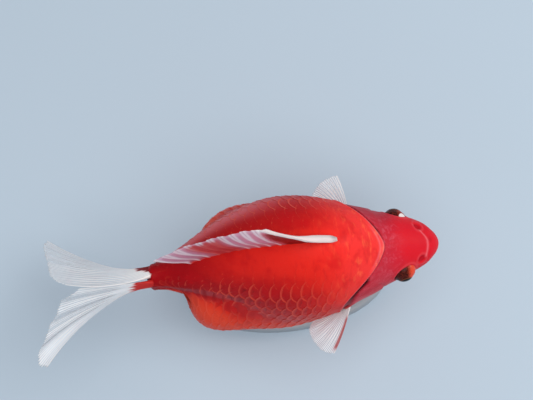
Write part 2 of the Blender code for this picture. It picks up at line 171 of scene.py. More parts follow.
# ---- The body's form ----------------------------------------------------------------------------
def through(at, column):
    """The values of one column of the stations on a smooth curve through them."""
    table = np.array(STATIONS)
    x, y = table[:, 0], table[:, column]
    count = len(x)
    low, high = np.maximum(np.arange(count) - 1, 0), np.minimum(np.arange(count) + 1, count - 1)
    slopes = (y[high] - y[low]) / (x[high] - x[low])
    at = np.clip(at, x[0], x[-1])
    i = np.clip(np.searchsorted(x[1:], at), 0, count - 2)
    h = x[i + 1] - x[i]
    k = (at - x[i]) / h
    return (
        y[i] * (1 + 2 * k) * (1 - k) ** 2
        + y[i + 1] * k * k * (3 - 2 * k)
        + h * slopes[i] * k * (1 - k) ** 2
        - h * slopes[i + 1] * k * k * (1 - k)
    )


def head_angle(angle):
    """An angle from the top of the back, measured from the middle of the head instead."""
    return np.remainder(angle + HEAD_TURN + math.pi, math.tau) - math.pi


def seam(angle):
    """How far back the head reaches at an angle from the top of the back."""
    turned = head_angle(angle)
    left = 0.5 + 0.5 * np.clip(2 * np.sin(turned), -1, 1)
    turned = np.abs(turned)
    bow = ridge(turned, BOW_AT, BOW_WIDE)
    above = turned < math.pi / 2
    least, off = np.where(above, NAPE, THROAT), np.where(above, turned, math.pi - turned)
    return least + (GILL - least) * ramp(off, 0.0, SEAM_SPREAD) + SEAM_BOW * bow - SEAM_LEAN * left


def flank(at, angle):
    """Distance from the spine to the muscle of head, back and stalk."""
    above, out = np.cos(angle), np.abs(np.sin(angle))
    back, under, middle = (through(at, column) for column in (BACK, UNDER, MIDDLE))
    height = np.abs(np.where(above > 0, back, under) - middle)
    square = np.where(above > 0, BACK_SQUARE, UNDER_SQUARE)
    across, up = out / through(at, WIDTH), np.abs(above) / height
    return (across**square + up**square) ** (-1 / square)


def sac(at, angle):
    """Distance from the spine to the outside of the nearer belly sac, or 0 away from it."""
    left = 0.5 + 0.5 * np.clip(1.6 * np.sin(angle), -1, 1)
    length, square = (a * (1 - left) + b * left for a, b in zip(BELLY_REAR[-1], BELLY_REAR[1]))
    ahead = at < BELLY_AT
    length, square = np.where(ahead, BELLY_FRONT, length), np.where(ahead, 2.0, square)
    inside = 1 - np.abs((at - BELLY_AT) / length) ** square
    out, up = np.abs(np.sin(angle)) / BELLY_WIDE, np.cos(angle) / BELLY_TALL
    beside = BELLY_SPREAD / BELLY_WIDE
    below = -(BELLY_SINK + through(at, MIDDLE)) / BELLY_TALL
    a, b = out * out + up * up, out * beside + up * below
    root = b * b - a * (beside * beside + below * below - inside)
    reach = np.maximum(b + np.sqrt(np.maximum(root, 0)), 0) / a
    return np.where((inside > 0) & (root > 0), reach, 0.0)


def rounded(share):
    """The height of a round end, from 1 where it begins to 0 at its tip."""
    return np.sqrt(1 - np.clip(share, 0.0, 1.0) ** 2)


def spine(at):
    """The middle of the body at a share of its length from the snout."""
    at = np.asarray(at, float)
    return np.stack(
        [
            SNOUT_X - at * BODY_LENGTH,
            through(at, SWAY) * BODY_LENGTH,
            SPINE_HEIGHT + through(at, MIDDLE) * BODY_LENGTH,
        ],
        axis=-1,
    )


def body_point(at, angle, fold=0.0):
    """Points of the body's surface: at runs from 0 at the snout to 1 at the tail root, and angle from the
    top of the back towards the fish's left. fold is how much of the rise behind the head there is."""
    at, angle = np.clip(at, 0.0, 1.0), np.asarray(angle, float)
    dome = rounded((NOSE - at) / NOSE) * rounded((at - TAIL_END) / (1 - TAIL_END))
    reach = (flank(at, angle) ** BLEND + sac(at, angle) ** BLEND) ** (1 / BLEND)
    behind = np.maximum(at - seam(angle), 0.0)
    rise = np.maximum(np.cos(angle), 0.0) ** 1.2 * np.exp(-behind / FOLD_FADE)
    reach = dome * (reach + NAPE_FOLD * fold * rise) * BODY_LENGTH
    around = np.stack([0 * reach, reach * np.sin(angle), reach * np.cos(angle)], axis=-1)
    return spine(at) + around


def ramp(value, low, high):
    """Rises smoothly from 0 at low to 1 at high."""
    t = np.clip((value - low) / (high - low), 0.0, 1.0)
    return t * t * (3 - 2 * t)


def ridge(value, centre, width):
    """A smooth hump of height 1 about a centre."""
    return np.exp(-(((value - centre) / width) ** 2))


def distance(points, spot):
    return np.linalg.norm(points - spot, axis=-1)


def unit(vectors):
    """The same vectors with length 1."""
    length = np.linalg.norm(vectors, axis=-1, keepdims=True)
    return vectors / np.maximum(length, 1e-12)


def trunk_point(at, angle):
    """Points of the body's surface with the rounded rim where the trunk overhangs the head."""
    return body_point(at, angle, ramp(at - seam(angle), -0.001, 0.007))


def eye_centre(side):
    return spine(EYE_AT[side]) + np.array((0, side * EYE_OUT[side], EYE_HEIGHT)) * BODY_LENGTH


# ---- Making objects and materials ---------------------------------------------------------------
def placed(name, data):
    """Adds an object to the scene."""
    obj = bpy.data.objects.new(name, data)
    bpy.context.scene.collection.objects.link(obj)
    return obj


def finished(name, mesh, material, slot, *nodes):
    """Makes an object of a mesh, riding on the model and standing for its nodes."""
    obj = placed(name, mesh)
    mesh.materials.append(material)
    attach(obj, "root")
    if nodes:
        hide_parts(*nodes)


def rows_of(items, name):
    """A vector that each item of a mesh has, as rows of x, y and z."""
    flat = np.empty(len(items) * 3)
    items.foreach_get(name, flat)
    return flat.reshape(-1, 3)


def positions(mesh):
    return rows_of(mesh.vertices, "co")


def normals(mesh):
    """The direction out of the surface at each corner of a mesh."""
    return rows_of(mesh.vertex_normals, "vector")


def move_to(mesh, points):
    mesh.vertices.foreach_set("co", np.ascontiguousarray(points, float).ravel())
    mesh.update()


def store(mesh, **values):
    """Keeps a number for each corner of a mesh, under a name that its material reads."""
    for name, value in values.items():
        attribute = mesh.attributes.new(name, "FLOAT", "POINT")
        attribute.data.foreach_set("value", np.ascontiguousarray(value, np.float32))


def turn_shares(angle):
    """How far round from the top of the back an angle is, from 0 to 1, and the same for its side, more than
    0 on the left and less on the right, brought back to 0 along the underside."""
    angle = np.arctan2(np.sin(angle), np.cos(angle)) / math.pi
    off_top = np.abs(angle)
    return off_top, angle * np.minimum((1 - off_top) / 0.2, 1.0)


def map_uv(mesh, name, places):
    """Adds a UV map from a place for each corner of a mesh."""
    corners = np.empty(len(mesh.loops), np.int32)
    mesh.loops.foreach_get("vertex_index", corners)
    layer = mesh.uv_layers.new(name=name)
    layer.data.foreach_set("uv", np.ascontiguousarray(places[corners], np.float32).ravel())


def mesh_of(name, bm):
    """Turns a bmesh into a smooth mesh and frees it."""
    mesh = bpy.data.meshes.new(name)
    bm.to_mesh(mesh)
    bm.free()
    mesh.shade_smooth()
    return mesh


def face_outwards(mesh):
    """Turns all the faces of a closed mesh outwards."""
    bm = bmesh.new()
    bm.from_mesh(mesh)
    bmesh.ops.recalc_face_normals(bm, faces=bm.faces)
    bm.to_mesh(mesh)
    bm.free()


def new_material(name):
    material = bpy.data.materials.new(name)
    material.use_nodes = True
    material.node_tree.nodes.clear()
    return material, material.node_tree


def node(tree, kind, inputs=None, **settings):
    """Adds a node with its settings. Inputs are sockets to link or values to set."""
    made = tree.nodes.new(kind)
    for name, value in settings.items():
        setattr(made, name, value)
    for name, value in (inputs or {}).items():
        value = getattr(value, "socket", value)
        if isinstance(value, bpy.types.NodeSocket):
            tree.links.new(value, made.inputs[name])
        else:
            made.inputs[name].default_value = value
    return made


def shade(tint):
    """A colour as a node takes it, from a socket, a hex code or red, green and blue."""
    if isinstance(tint, bpy.types.NodeSocket):
        return tint
    return (*colour(tint), 1.0) if isinstance(tint, str) else (*tint, 1.0)


class Value:
    """A number that a material's nodes work out, so that sums on it read as sums"""

    def __init__(self, tree, socket):
        self.tree, self.socket = tree, socket

    def reckon(self, operation, *others, clamp=False):
        inputs = dict(enumerate((self, *others)))
        made = node(self.tree, "ShaderNodeMath", inputs, operation=operation, use_clamp=clamp)
        return Value(self.tree, made.outputs[0])

    def __add__(self, other):
        return self.reckon("ADD", other)

    def __sub__(self, other):
        return self.reckon("SUBTRACT", other)

    def __mul__(self, other):
        return self.reckon("MULTIPLY", other)

    def between(self, low, high, to_low=0.0, to_high=1.0):
        """The value mapped smoothly from one range to another."""
        inputs = {0: self, 1: low, 2: high, 3: to_low, 4: to_high}
        made = node(self.tree, "ShaderNodeMapRange", inputs, interpolation_type="SMOOTHSTEP")
        return Value(self.tree, made.outputs[0])

    def mix(self, first, second):
        """The socket of a colour between two, at this share of the way."""
        inputs = {0: self, 6: shade(first), 7: shade(second)}
        return node(self.tree, "ShaderNodeMix", inputs, data_type="RGBA", clamp_factor=True).outputs[2]


def kept(tree, *names):
    """The numbers kept on the mesh under these names."""
    return [
        Value(tree, node(tree, "ShaderNodeAttribute", attribute_name=name).outputs["Fac"])
        for name in names
    ]


def noise(tree, where, size, detail=2.0, roughness=0.5, distortion=0.0):
    """A cloudy pattern whose clouds are a size across in metres."""
    inputs = {
        "Vector": where,
        "Scale": 1.0 / size,
        "Detail": detail,
        "Roughness": roughness,
        "Distortion": distortion,
    }
    return Value(tree, node(tree, "ShaderNodeTexNoise", inputs).outputs[0])


def coordinates(tree):
    return node(tree, "ShaderNodeTexCoord").outputs["Object"]


def mapped(tree, name):
    """The place on one of the mesh's UV maps."""
    return node(tree, "ShaderNodeUVMap", uv_map=name).outputs[0]


def stretched(tree, where, scale):
    return node(tree, "ShaderNodeMapping", {"Vector": where, "Scale": scale}).outputs[0]


def parts(tree, vector):
    """The x, y and z of a vector."""
    return [Value(tree, socket) for socket in node(tree, "ShaderNodeSeparateXYZ", {0: vector}).outputs]


def vector_sum(tree, operation, *vectors):
    """The vector and the number that a sum on vectors gives."""
    made = node(tree, "ShaderNodeVectorMath", dict(enumerate(vectors)), operation=operation)
    return made.outputs[0], Value(tree, made.outputs[1])


def finish_material(tree, inputs, height=None, depth=0.0001):
    """Adds the shader, and a bump of a real depth where there is a height."""
    if height is not None:
        bump = node(tree, "ShaderNodeBump", {"Height": height, "Distance": depth, "Strength": 1.0})
        inputs = {**inputs, "Normal": bump.outputs[0]}
    shader = node(tree, "ShaderNodeBsdfPrincipled", inputs)
    node(tree, "ShaderNodeOutputMaterial", {"Surface": shader.outputs[0]})


# ---- Colours of the body ------------------------------------------------------------------------
# What skin and scales share: light that spreads a little under the surface, and a thin film of water.
WET_FLESH = {
    "Subsurface Radius": (1.0, 0.25, 0.15),
    "Coat Weight": 0.02,
    "Coat Roughness": 0.25,
    "IOR": 1.14,
    "Specular IOR Level": 0.35,
}


def body_colours(tree, tints):
    """The markings that skin and scales share: bright on the back and belly, crimson on the upper flanks
    and the stalk, with flecks of orange on the hump; painted sheen and light on the left flank, and painted
    shade in the crease above the right belly sac."""
    where = coordinates(tree)
    along, around, off_top = kept(tree, "along", "around", "off_top")
    cloud = noise(tree, where, 0.009, 3.0, 0.55)
    across = stretched(tree, where, (1.0, 0.4, 0.4))
    fleck = noise(tree, across, 0.0021, 2.0, 0.5, 0.3)
    waver = (cloud - 0.5) * 0.16 + off_top

    # the crimson of the upper flanks, wider towards the tail, and on the left flank a pale pink painted
    # sheen, a painted reflection that lightens it
    higher = waver + around.between(0.0, 0.05, 0.0, 0.09)
    lower = waver + along.between(0.70, 0.80, 0.0, 0.12)
    later = along + around.between(0.05, -0.10, 0.0, -0.07)
    upper = higher.between(0.06, 0.22) * lower.between(0.60, 0.46) * later.between(0.27, 0.50)
    tint = (upper * around.between(-0.3, 0.3, 0.88, 0.72)).mix(tints.red, tints.deep_red)
    painted_sheen = around.between(0.12, 0.30) * along.between(0.34, 0.60) * off_top.between(0.56, 0.46)
    tint = (painted_sheen * 0.66).mix(tint, "dd6068")

    # the orange belly
    tint = lower.between(0.30, 0.42, 0.0, 0.6).mix(tint, "c6201c")
    tint = (lower.between(0.50, 0.66) * 0.85).mix(tint, tints.orange)
    tint = (waver.between(0.66, 0.95) * 0.45).mix(tint, "f6a08a")

    # the crimson stalk, less so on its underside and its left, with a dull lilac band on its right, partly
    # its own colour and partly painted shade in the crease above the belly sac
    below = off_top.between(0.35, 0.43) * along.between(0.97, 0.90)
    rosier = around.between(0.08, 0.20) * along.between(0.95, 0.86)
    stalk = (cloud * 0.10 + along).between(0.74, 0.93)
    tint = (stalk * (below * -0.9 + 1.0) * (rosier * -0.5 + 1.0)).mix(tint, "930812")
    band_and_crease_shade = off_top.between(0.375, 0.345) * off_top.between(0.285, 0.315)
    band_and_crease_shade = band_and_crease_shade * around.between(-0.02, -0.10) * along.between(0.62, 0.74)
    tint = (band_and_crease_shade * 0.45).mix(tint, "8a4f58")

    # the brighter hump with flecks of orange, and deeper clouds and streaks elsewhere
    hump = along.between(0.46, 0.26) * off_top.between(0.42, 0.12)
    tint = (hump * 0.7).mix(tint, "f43a38")
    tint = (hump * fleck.between(0.52, 0.74) * 0.65).mix(tint, "ff6e44")
    deeper = cloud.between(0.48, 0.70, 0.0, 0.55) * off_top.between(0.52, 0.40, 0.2, 1.0)
    tint = deeper.mix(tint, "c81419")
    back = along.between(0.46, 0.84, 0.0, 0.42) * off_top.between(0.30, 0.20)
    tint = (back * around.between(0.04, 0.16, 1.0, 0.2)).mix(tint, "ab1016")
    streaks = noise(tree, across, 0.0022, 3.0, 0.6, 0.4).between(0.50, 0.70) * off_top.between(0.42, 0.25)
    tint = (streaks * 0.24).mix(tint, "b3101a")

    # painted light: the rear of the left flank lightened to pink where the light falls off
    pink = around.between(0.10, 0.24) * off_top.between(0.52, 0.42)
    pink = pink * along.between(0.50, 0.66) * along.between(0.96, 0.88, 0.0, 0.55)
    return pink.mix(tint, "f0747a"), where


def skin_material(tints):
    # Wet living skin: smooth and faintly translucent on the head, with soft clouds of red and fine pores.
    material, tree = new_material("wet_fish_skin")
    tint, where = body_colours(tree, tints)
    along, around, off_top = kept(tree, "along", "around", "off_top")
    head_share, pale, blood, crease = kept(tree, "head_share", "pale", "blood", "crease")
    cloud = noise(tree, where, 0.006, 3.0, 0.6)
    fine = noise(tree, where, 0.0009, 2.0, 0.6)
    mottle = noise(tree, where, 0.0022, 3.0, 0.65, 1.2)

    # the head: bright snout, smooth cap, and a duller rose back of the head with lilac mottles that are
    # partly a painted highlight
    rear = (cloud * 0.06 + along).between(0.145, 0.235)
    head = rear.mix(tints.cap, "c02838")
    head = (rear * mottle.between(0.45, 0.72) * 0.32).mix(head, "dd7083")
    head = along.between(0.055, 0.030).mix(head, "d61a2a")
    # painted shade: the back of the head darker on its left
    head = (rear * around.between(0.05, 0.24) * 0.45).mix(head, "8e1426")
    head = off_top.between(0.42, 0.62, 0.0, 0.8).mix(head, tint)
    head = cloud.between(0.45, 0.7, 0.0, 0.25).mix(head, "c3142a")
    tint = head_share.mix(tint, head)

    # pale skin of lips, nostril and eye rims and the cap's edge, with the painted highlights along the
    # trunk's rim
    tint = pale.mix(tint, tints.rose)
    tint = blood.mix(tint, "a00418")
    # painted shade: creases, grooves, the gill and mouth slits and the gaps round the eyes darkened to near
    # black
    tint = crease.mix(tint, "22030a")
    shader = {
        **WET_FLESH,
        "Base Color": tint,
        "Roughness": cloud.between(0.3, 0.7, 0.36, 0.48),
        "Subsurface Weight": 0.12,
        "Subsurface Scale": 0.0015,
    }
    finish_material(tree, shader, mottle * 0.6 + fine, 0.00006)
    return material


def scale_material(tints):
    # Wet scales: each a clear plate over red skin, deeper in its middle, with a thin orange rear edge and
    # growth lines that catch the light.
    material, tree = new_material("wet_fish_scales")
    tint, where = body_colours(tree, tints)
    along, around, off_top, tone = kept(tree, "along", "around", "off_top", "tone")
    centred, _ = vector_sum(tree, "SUBTRACT", mapped(tree, "scale_face"), (0.5, 0.5, 0.0))
    _, out = vector_sum(tree, "LENGTH", centred)
    back = parts(tree, centred)[0]
    rim = out.between(0.36, 0.46) * back.between(0.04, 0.26)
    heart = out.between(0.42, 0.20) * back.between(-0.05, 0.12)

    # the pattern shows on the flanks, and fades on the middle of the back and the hump
    cloud = noise(tree, where, 0.014, 2.0, 0.5)
    higher = off_top + around.between(0.0, 0.05, 0.0, 0.11)
    shown = higher.between(0.08, 0.22, 0.12, 1.0) * cloud.between(0.25, 0.6, 0.45, 1.0)
    shown = shown * along.between(0.96, 0.80, 0.35, 1.0) * along.between(0.30, 0.48, 0.10, 1.0)

    tint = tone.between(0.3, 1.0, 0.0, 0.12).mix(tint, tints.orange)
    tint = tone.between(-0.2, -1.0, 0.0, 0.12).mix(tint, tints.deep_red)
    tint = (heart * shown * 0.72 * off_top.between(0.44, 0.32, 0.35, 1.0)).mix(tint, "840a10")
    edge = rim * shown * 0.52 * tone.between(-1.0, 1.0, 0.65, 1.1)
    # the rear edges are drawn stronger on the left flank: painted light where the light falls off there
    tint = (edge * around.between(0.02, 0.16, 1.0, 1.35)).mix(tint, tints.scale_edge)

    # growth lines, far finer on a live scale, drawn 0.5 mm apart so that they show
    rings = (out * 90.0).reckon("SINE")
    grain = noise(tree, where, 0.0012, 2.0, 0.6)
    shader = {
        **WET_FLESH,
        "Base Color": tint,
        "Roughness": grain.between(0.3, 0.7, 0.30, 0.42),
        "Subsurface Weight": 0.08,
        "Subsurface Scale": 0.001,
    }
    finish_material(tree, shader, rings * 0.25 + grain, 0.00004)
    return material


# ---- The skin -----------------------------------------------------------------------------------
def ring_places(count):
    """Where the skin's rings lie along the body, from snout to tail root: close together on the head."""
    at = 0.5 - 0.5 * np.cos(np.linspace(0, math.pi, 6001))
    path = trunk_point(at, np.full(at.shape, math.pi / 2))
    steps = np.linalg.norm(np.diff(path, axis=0), axis=1)
    middle = (at[1:] + at[:-1]) / 2
    crowd = 1.0 + 1.9 * (1 - ramp(middle, 0.17, 0.23)) + 0.5 * (1 - ramp(middle, 0.30, 0.38))
    run = np.concatenate([[0.0], np.cumsum(steps * crowd)])
    return np.interp(np.linspace(0, 1, count + 1), run / run[-1], at)


def eye_axis(side, up=0.02):
    """Which way an eye looks: out to its side and a little forward."""
    return unit(np.array((0.16, side * 1.0, up)))


def mouth_relief(at, points):
    """The slit of the mouth and the lips round it."""
    lip = spine(0.0) + np.array((0, 0, -0.0006))
    off = points[:, 2] - lip[2] + 28.0 * (points[:, 1] - lip[1]) ** 2
    slit = ridge(off, 0.0, 0.00042) * (1 - ramp(at, 0.022, 0.044))
    lips = (ridge(off, 0.0014, 0.0008) + ridge(off, -0.0014, 0.0008)) * (1 - ramp(at, 0.010, 0.032))
    return 0.0002 * lips - 0.0013 * slit, slit, lips


def nostril_relief(points):
    """Two round pits, each with a pale rim and a small flap."""
    rise, pit_share, rim_share = 0, 0, 0
    for side, _ in SIDES:
        centre = body_point(NOSTRIL_AT, side * math.radians(NOSTRIL_ANGLE) - HEAD_TURN)
        away = distance(points, centre)
        flap = ridge(distance(points, centre + np.array((0.0007, 0, 0.0002))), 0.0, 0.00055)
        pit = 1 - ramp(away, NOSTRIL_RADIUS * 0.55, NOSTRIL_RADIUS)
        rim = ridge(away, NOSTRIL_RADIUS * 1.25, 0.0005)
        rise = rise - 0.0006 * pit + 0.0004 * flap + 0.00012 * rim
        pit_share = pit_share + pit
        rim_share = rim_share + rim
    return rise, pit_share, rim_share


def cap_relief(at, turned):
    """The smooth cap, whose pale front edge joins the nostrils."""
    off = np.abs(turned)
    edge = 0.0445 + np.where(turned > 0, 0.045, 0.014) * (off / NOSTRIL_ANGLE) ** 2
    over = 1 - ramp(off, 38, 50)
    step = ramp(at, edge - 0.003, edge + 0.003) * (1 - ramp(at, 0.11, 0.19))
    return 0.00006 * step * over, 0.40 * ridge(at, edge, 0.0042) * over


def cover_relief(at, beneath, ahead, end):
    """The gill covers, each raised a little, with a groove in front and above and below, and a share of
    painted shade in those grooves.
    """
    share = (beneath - COVER_HIGH) / (COVER_LOW - COVER_HIGH)
    bow = COVER_FRONT + 0.02 * (2 * share - 1) ** 2
    beside = ramp(share, -0.12, 0.0) * (1 - ramp(share, 1.0, 1.12))
    behind = ramp(at, bow, bow + 0.01)
    front = ridge(at, bow, 0.006) * beside
    edges = (ridge(beneath, COVER_LOW, 3.0) + 0.6 * ridge(beneath, COVER_HIGH, 4.0)) * behind
    edges = edges * (1 - ramp(ahead, -0.03, -0.015))
    raised = beside * behind * (1 - ramp(ahead, end - 0.004, end))
    return 0.0003 * raised - 0.00010 * front - 0.00025 * edges, 0.16 * front + 0.25 * edges


def gill_slit(turned, beneath, ahead):
    """Where the slit between gill cover and trunk starts, and the share of it. It widens down the side
    from nothing, and more on the right, where the cover is lifted."""
    off = np.abs(turned)
    right = 0.031 * ramp(off, 25, 38) * (1 - 0.65 * ramp(off, 86, 108))
    left = (0.012 * ramp(off, 4, 24) + 0.018 * ramp(off, 30, 48)) * (1 - 0.6 * ramp(off, 86, 108))
    start = -0.004 - np.where(turned < 0, right, left)
    begins = np.where(turned < 0, ramp(off, 22, 31), ramp(off, 4, 22))
    share = ramp(ahead, start - 0.002, start + 0.005) * (1 - ramp(ahead, -0.002, 0.001))
    return start, share * begins * (1 - ramp(beneath, 124, 156))


def head_relief(at, angle, points):
    """How far the skin of the head stands out, and shares of painted shade in its creases, of pale folds
    and painted highlights, and of blood-red hollows.
    """
    turned = np.degrees(head_angle(angle))
    off = np.abs(turned)
    beneath = np.degrees(np.abs(np.arctan2(np.sin(angle), np.cos(angle))))
    ahead = at - seam(angle)
    rise, pale = cap_relief(at, turned)
    slit_start, slit = gill_slit(turned, beneath, ahead)
    covers, crease = cover_relief(at, beneath, ahead, slit_start)

    # the gill slit, painted shade near black above and blood red below, and the groove that carries it over
    # the nape, darkened with painted shade
    groove = ridge(ahead, -0.0030, 0.0032) * (1 - ramp(off, 30, 50))
    rise = rise + covers - np.where(turned < 0, 0.0008, 0.0005) * slit - 0.0004 * groove
    low = np.where(turned < 0, ramp(off, 57, 66), 0.60)
    crease = crease + slit * (1 - 0.52 * low) + 0.22 * groove
    blood = slit * low

    # folds under the eye and the throat, and fine wrinkles behind the cap, each sunk and darkened with
    # painted shade
    cheek = ridge(beneath, 104 + 130 * (at - 0.1), 4.0) * ridge(at, 0.10, 0.04)
    throat = ridge(beneath, 156, 4.0) * ridge(at, 0.17, 0.05)
    wrinkle = 0.5 + 0.5 * np.cos(angle * 46 + 30 * at)
    wrinkle = wrinkle * ridge(ahead, -0.032, 0.020) * (1 - ramp(off, 50, 70))
    rise = rise - 0.00025 * cheek - 0.0004 * throat - 0.00010 * wrinkle
    crease = crease + 0.12 * cheek + 0.25 * throat + 0.06 * wrinkle

    # painted highlights: a thin pale line along the rim of the trunk, over the head, and a soft pale band
    # behind it on top
    pale = pale + 0.46 * ridge(ahead, 0.0055, 0.0030) * (1 - ramp(beneath, 60, 100))
    pale = pale + 0.40 * ridge(ahead, 0.0165, 0.0040) * (1 - ramp(off, 10, 26))

    mouth, slit_share, lips = mouth_relief(at, points)
    nostrils, pit, pit_rim = nostril_relief(points)
    spot = ridge(distance(points, body_point(0.0345, 0.0)), 0, 0.0010)
    rise = rise + mouth + nostrils
    # painted shade darkens the slit of the mouth
    crease = crease + 0.85 * slit_share
    pale = pale + 0.20 * lips + 0.10 * pit_rim
    blood = blood + 0.62 * pit + 0.45 * spot
    return rise, np.clip(crease, 0, 1), np.clip(pale, 0, 1), np.clip(blood, 0, 1)


def set_eyes_in(points, out_of):
    """Moves the skin for the eyes: a low fold round each, and inside it the skin dives under the ball."""
    for side, _ in SIDES:
        centre, axis = eye_centre(side), eye_axis(side, EYE_OPEN_UP)
        away = points - centre
        out = away @ axis
        beside = distance(away, out[:, None] * axis)
        near = (out > 0.0005).astype(float)
        lid = 0.00010 * ridge(beside, 0.0046, 0.0006) - 0.00006 * ridge(beside, 0.0061, 0.0008)
        points = points + out_of * (lid * near)[:, None]
        floor = np.sqrt(np.maximum((EYE_RADIUS - 0.0005) ** 2 - beside**2, 0.0))
        dive = np.minimum(floor - out, 0.0) * (1 - ramp(beside, 0.0040, 0.0045)) * near
        points = points + axis * dive[:, None]
    return points


def eye_rims(points):
    """Shares for the thin pale skin that edges each eye and the painted shade of a dark line inside it,
    where the skin meets the ball.
    """
    pale, dark = 0, 0
    for side, _ in SIDES:
        away = distance(points, eye_centre(side))
        pale = pale + ridge(away, EYE_RADIUS + 0.0007, 0.0004)
        dark = dark + (1 - ramp(away, EYE_RADIUS - 0.0002, EYE_RADIUS + 0.0004))
    return pale, dark


def make_skin(sizes, tints):
    """One closed skin over head, trunk and tail stalk."""
    bm = bmesh.new()
    bmesh.ops.create_uvsphere(bm, u_segments=SKIN_AROUND, v_segments=SKIN_ALONG, radius=1.0)
    bmesh.ops.reverse_faces(bm, faces=bm.faces)
    mesh = mesh_of("skin", bm)
    ball = positions(mesh)
    share = np.arccos(np.clip(ball[:, 2], -1, 1)) / math.pi
    angle = np.arctan2(ball[:, 1], ball[:, 0])
    at = np.interp(share, np.linspace(0, 1, SKIN_ALONG + 1), ring_places(SKIN_ALONG))
    points = trunk_point(at, angle)
    move_to(mesh, points)
    out_of = normals(mesh)
    rise, crease, pale, blood = head_relief(at, angle, points)
    scaled = ramp(at - seam(angle), 0.003, 0.016) * (1 - ramp(at, 0.965, 0.985))
    rise = rise - sizes.coat_depth * scaled
    points = set_eyes_in(points + out_of * rise[:, None], out_of)
    move_to(mesh, points)
    rim, dark = eye_rims(points)
    off_top, around = turn_shares(angle)
    store(
        mesh,
        along=at,
        around=around,
        off_top=off_top,
        head_share=1 - ramp(at - seam(angle), -0.002, 0.006),
        crease=np.clip(crease + 0.5 * dark, 0, 1),
        pale=np.clip(pale + 0.12 * rim, 0, 1),
        blood=blood,
    )
    map_uv(mesh, "skin_unwrap", np.stack([at, angle / (2 * math.pi) + 0.5], axis=1))
    covered = ("head", "lower_jaw", "gill_cover_left", "gill_cover_right", "trunk", "tail_stalk")
    finished("skin", mesh, skin_material(tints), "red_skin", *covered)


# ---- The scales ---------------------------------------------------------------------------------
def scale_shape():
    """One scale as a flat round plate: corners out to 1 along and across, at height 1 on top and 0 under
    its rim."""
    bm = bmesh.new()
    bmesh.ops.create_circle(bm, cap_ends=True, segments=SCALE_CORNERS, radius=1.0)
    low = bmesh.ops.extrude_edge_only(bm, edges=bm.edges[:])["geom"]
    low_corners = [item for item in low if isinstance(item, bmesh.types.BMVert)]
    low_edges = [item for item in low if isinstance(item, bmesh.types.BMEdge)]
    bmesh.ops.translate(bm, verts=low_corners, vec=(0, 0, -1.0))
    bmesh.ops.contextual_create(bm, geom=[edge for edge in low_edges if edge.is_boundary])
    bmesh.ops.translate(bm, verts=bm.verts, vec=(0, 0, 1.0))
    bmesh.ops.recalc_face_normals(bm, faces=bm.faces)
    corners = np.array([corner.co[:] for corner in bm.verts])
    faces = [[corner.index for corner in face.verts] for face in bm.faces]
    bm.free()
    return corners, faces


def arc_table(count=181, around=257):
    """The angle at each share of the way round the body, from the back to the underside of either side."""
    at = np.linspace(COAT_START, 1.0, count)
    shares = np.linspace(-1, 1, around)
    table = np.empty((count, around))
    fine = np.linspace(0, math.pi, 361)
    for i, place in enumerate(at):
        for side in (LEFT, RIGHT):
            ring = body_point(np.full(fine.shape, place), side * fine)
            run = np.concatenate([[0], np.cumsum(np.linalg.norm(np.diff(ring, axis=0), axis=1))])
            half = shares >= 0 if side == LEFT else shares <= 0
            wanted = np.abs(shares[half])
            table[i, half] = side * np.interp(wanted, run / max(run[-1], 1e-9), fine)
    smooth = np.hanning(SMOOTH_ROWS + 2)[1:-1]
    beyond = np.pad(table, ((SMOOTH_ROWS // 2, SMOOTH_ROWS // 2), (0, 0)), mode="edge")
    return at, sum(part * beyond[i : i + count] for i, part in enumerate(smooth / smooth.sum()))


def between_places(table, row, column):
    """The value of a table at a place between its rows and columns."""
    row, column = (np.clip(place, 0, count - 1.001) for place, count in zip((row, column), table.shape))
    i, j = row.astype(int), column.astype(int)
    s, t = row - i, column - j
    upper = table[i, j] * (1 - t) + table[i, j + 1] * t
    lower = table[i + 1, j] * (1 - t) + table[i + 1, j + 1] * t
    return upper * (1 - s) + lower * s


def arc_angle(arcs, at, share):
    """The angle from the top of the back at a share of the way round, between -1 and 1."""
    places, table = arcs
    share = share - 2 * np.round(share / 2)
    row = (at - places[0]) / (places[1] - places[0])
    return between_places(table, row, (share + 1) / 2 * (table.shape[1] - 1))


def spread_table(arcs, count=900):
    """For every share of the way round, how far along the body places lie that are spread evenly over its
    surface: in step with the spine, but closer together where the belly turns in at its rear."""
    at = np.linspace(COAT_START, 1.0, count)
    shares = np.linspace(-1, 1, arcs[1].shape[1])
    along, around = np.meshgrid(at, shares)
    path = body_point(along, arc_angle(arcs, along, around))
    steepness = np.linalg.norm(np.diff(path, axis=1), axis=2) / (BODY_LENGTH * (at[1] - at[0]))
    slower = np.where(along[:, 1:] > SPREAD_FROM, np.maximum(steepness / STEEP, 1.0), 1.0)
    run = at[0] + np.cumsum(slower, axis=1) * (at[1] - at[0])
    spread = np.linspace(COAT_START, SPREAD_END, count)
    return spread, np.stack([np.interp(spread, row, at[1:]) for row in run])


def body_place(lay, spread, share):
    """The place along the body and the angle from the top of the back of a spot on the coat of scales."""
    arcs, (places, table) = lay
    row = (share - 2 * np.round(share / 2) + 1) / 2 * (len(table) - 1)
    at = between_places(table, row, (spread - places[0]) / (places[1] - places[0]))
    return at, arc_angle(arcs, at, share)


def row_count(at, most):
    """Rows of scales on a side: fewer towards the tail."""
    return most - (most - ROW_LEAST) * ramp(at, 0.62, 0.96)


def scale_columns(step):
    """Where the scales of a row lie along the body, closer at the nape and towards the tail."""
    places = [FIRST_COLUMN]
    while places[-1] < SPREAD_END:
        at = places[-1]
        share = 0.86 + 0.14 * ramp(at, 0.25, 0.4) - 0.42 * ramp(at, 0.62, 0.97)
        places.append(at + step / BODY_LENGTH * share)
    return np.array(places)


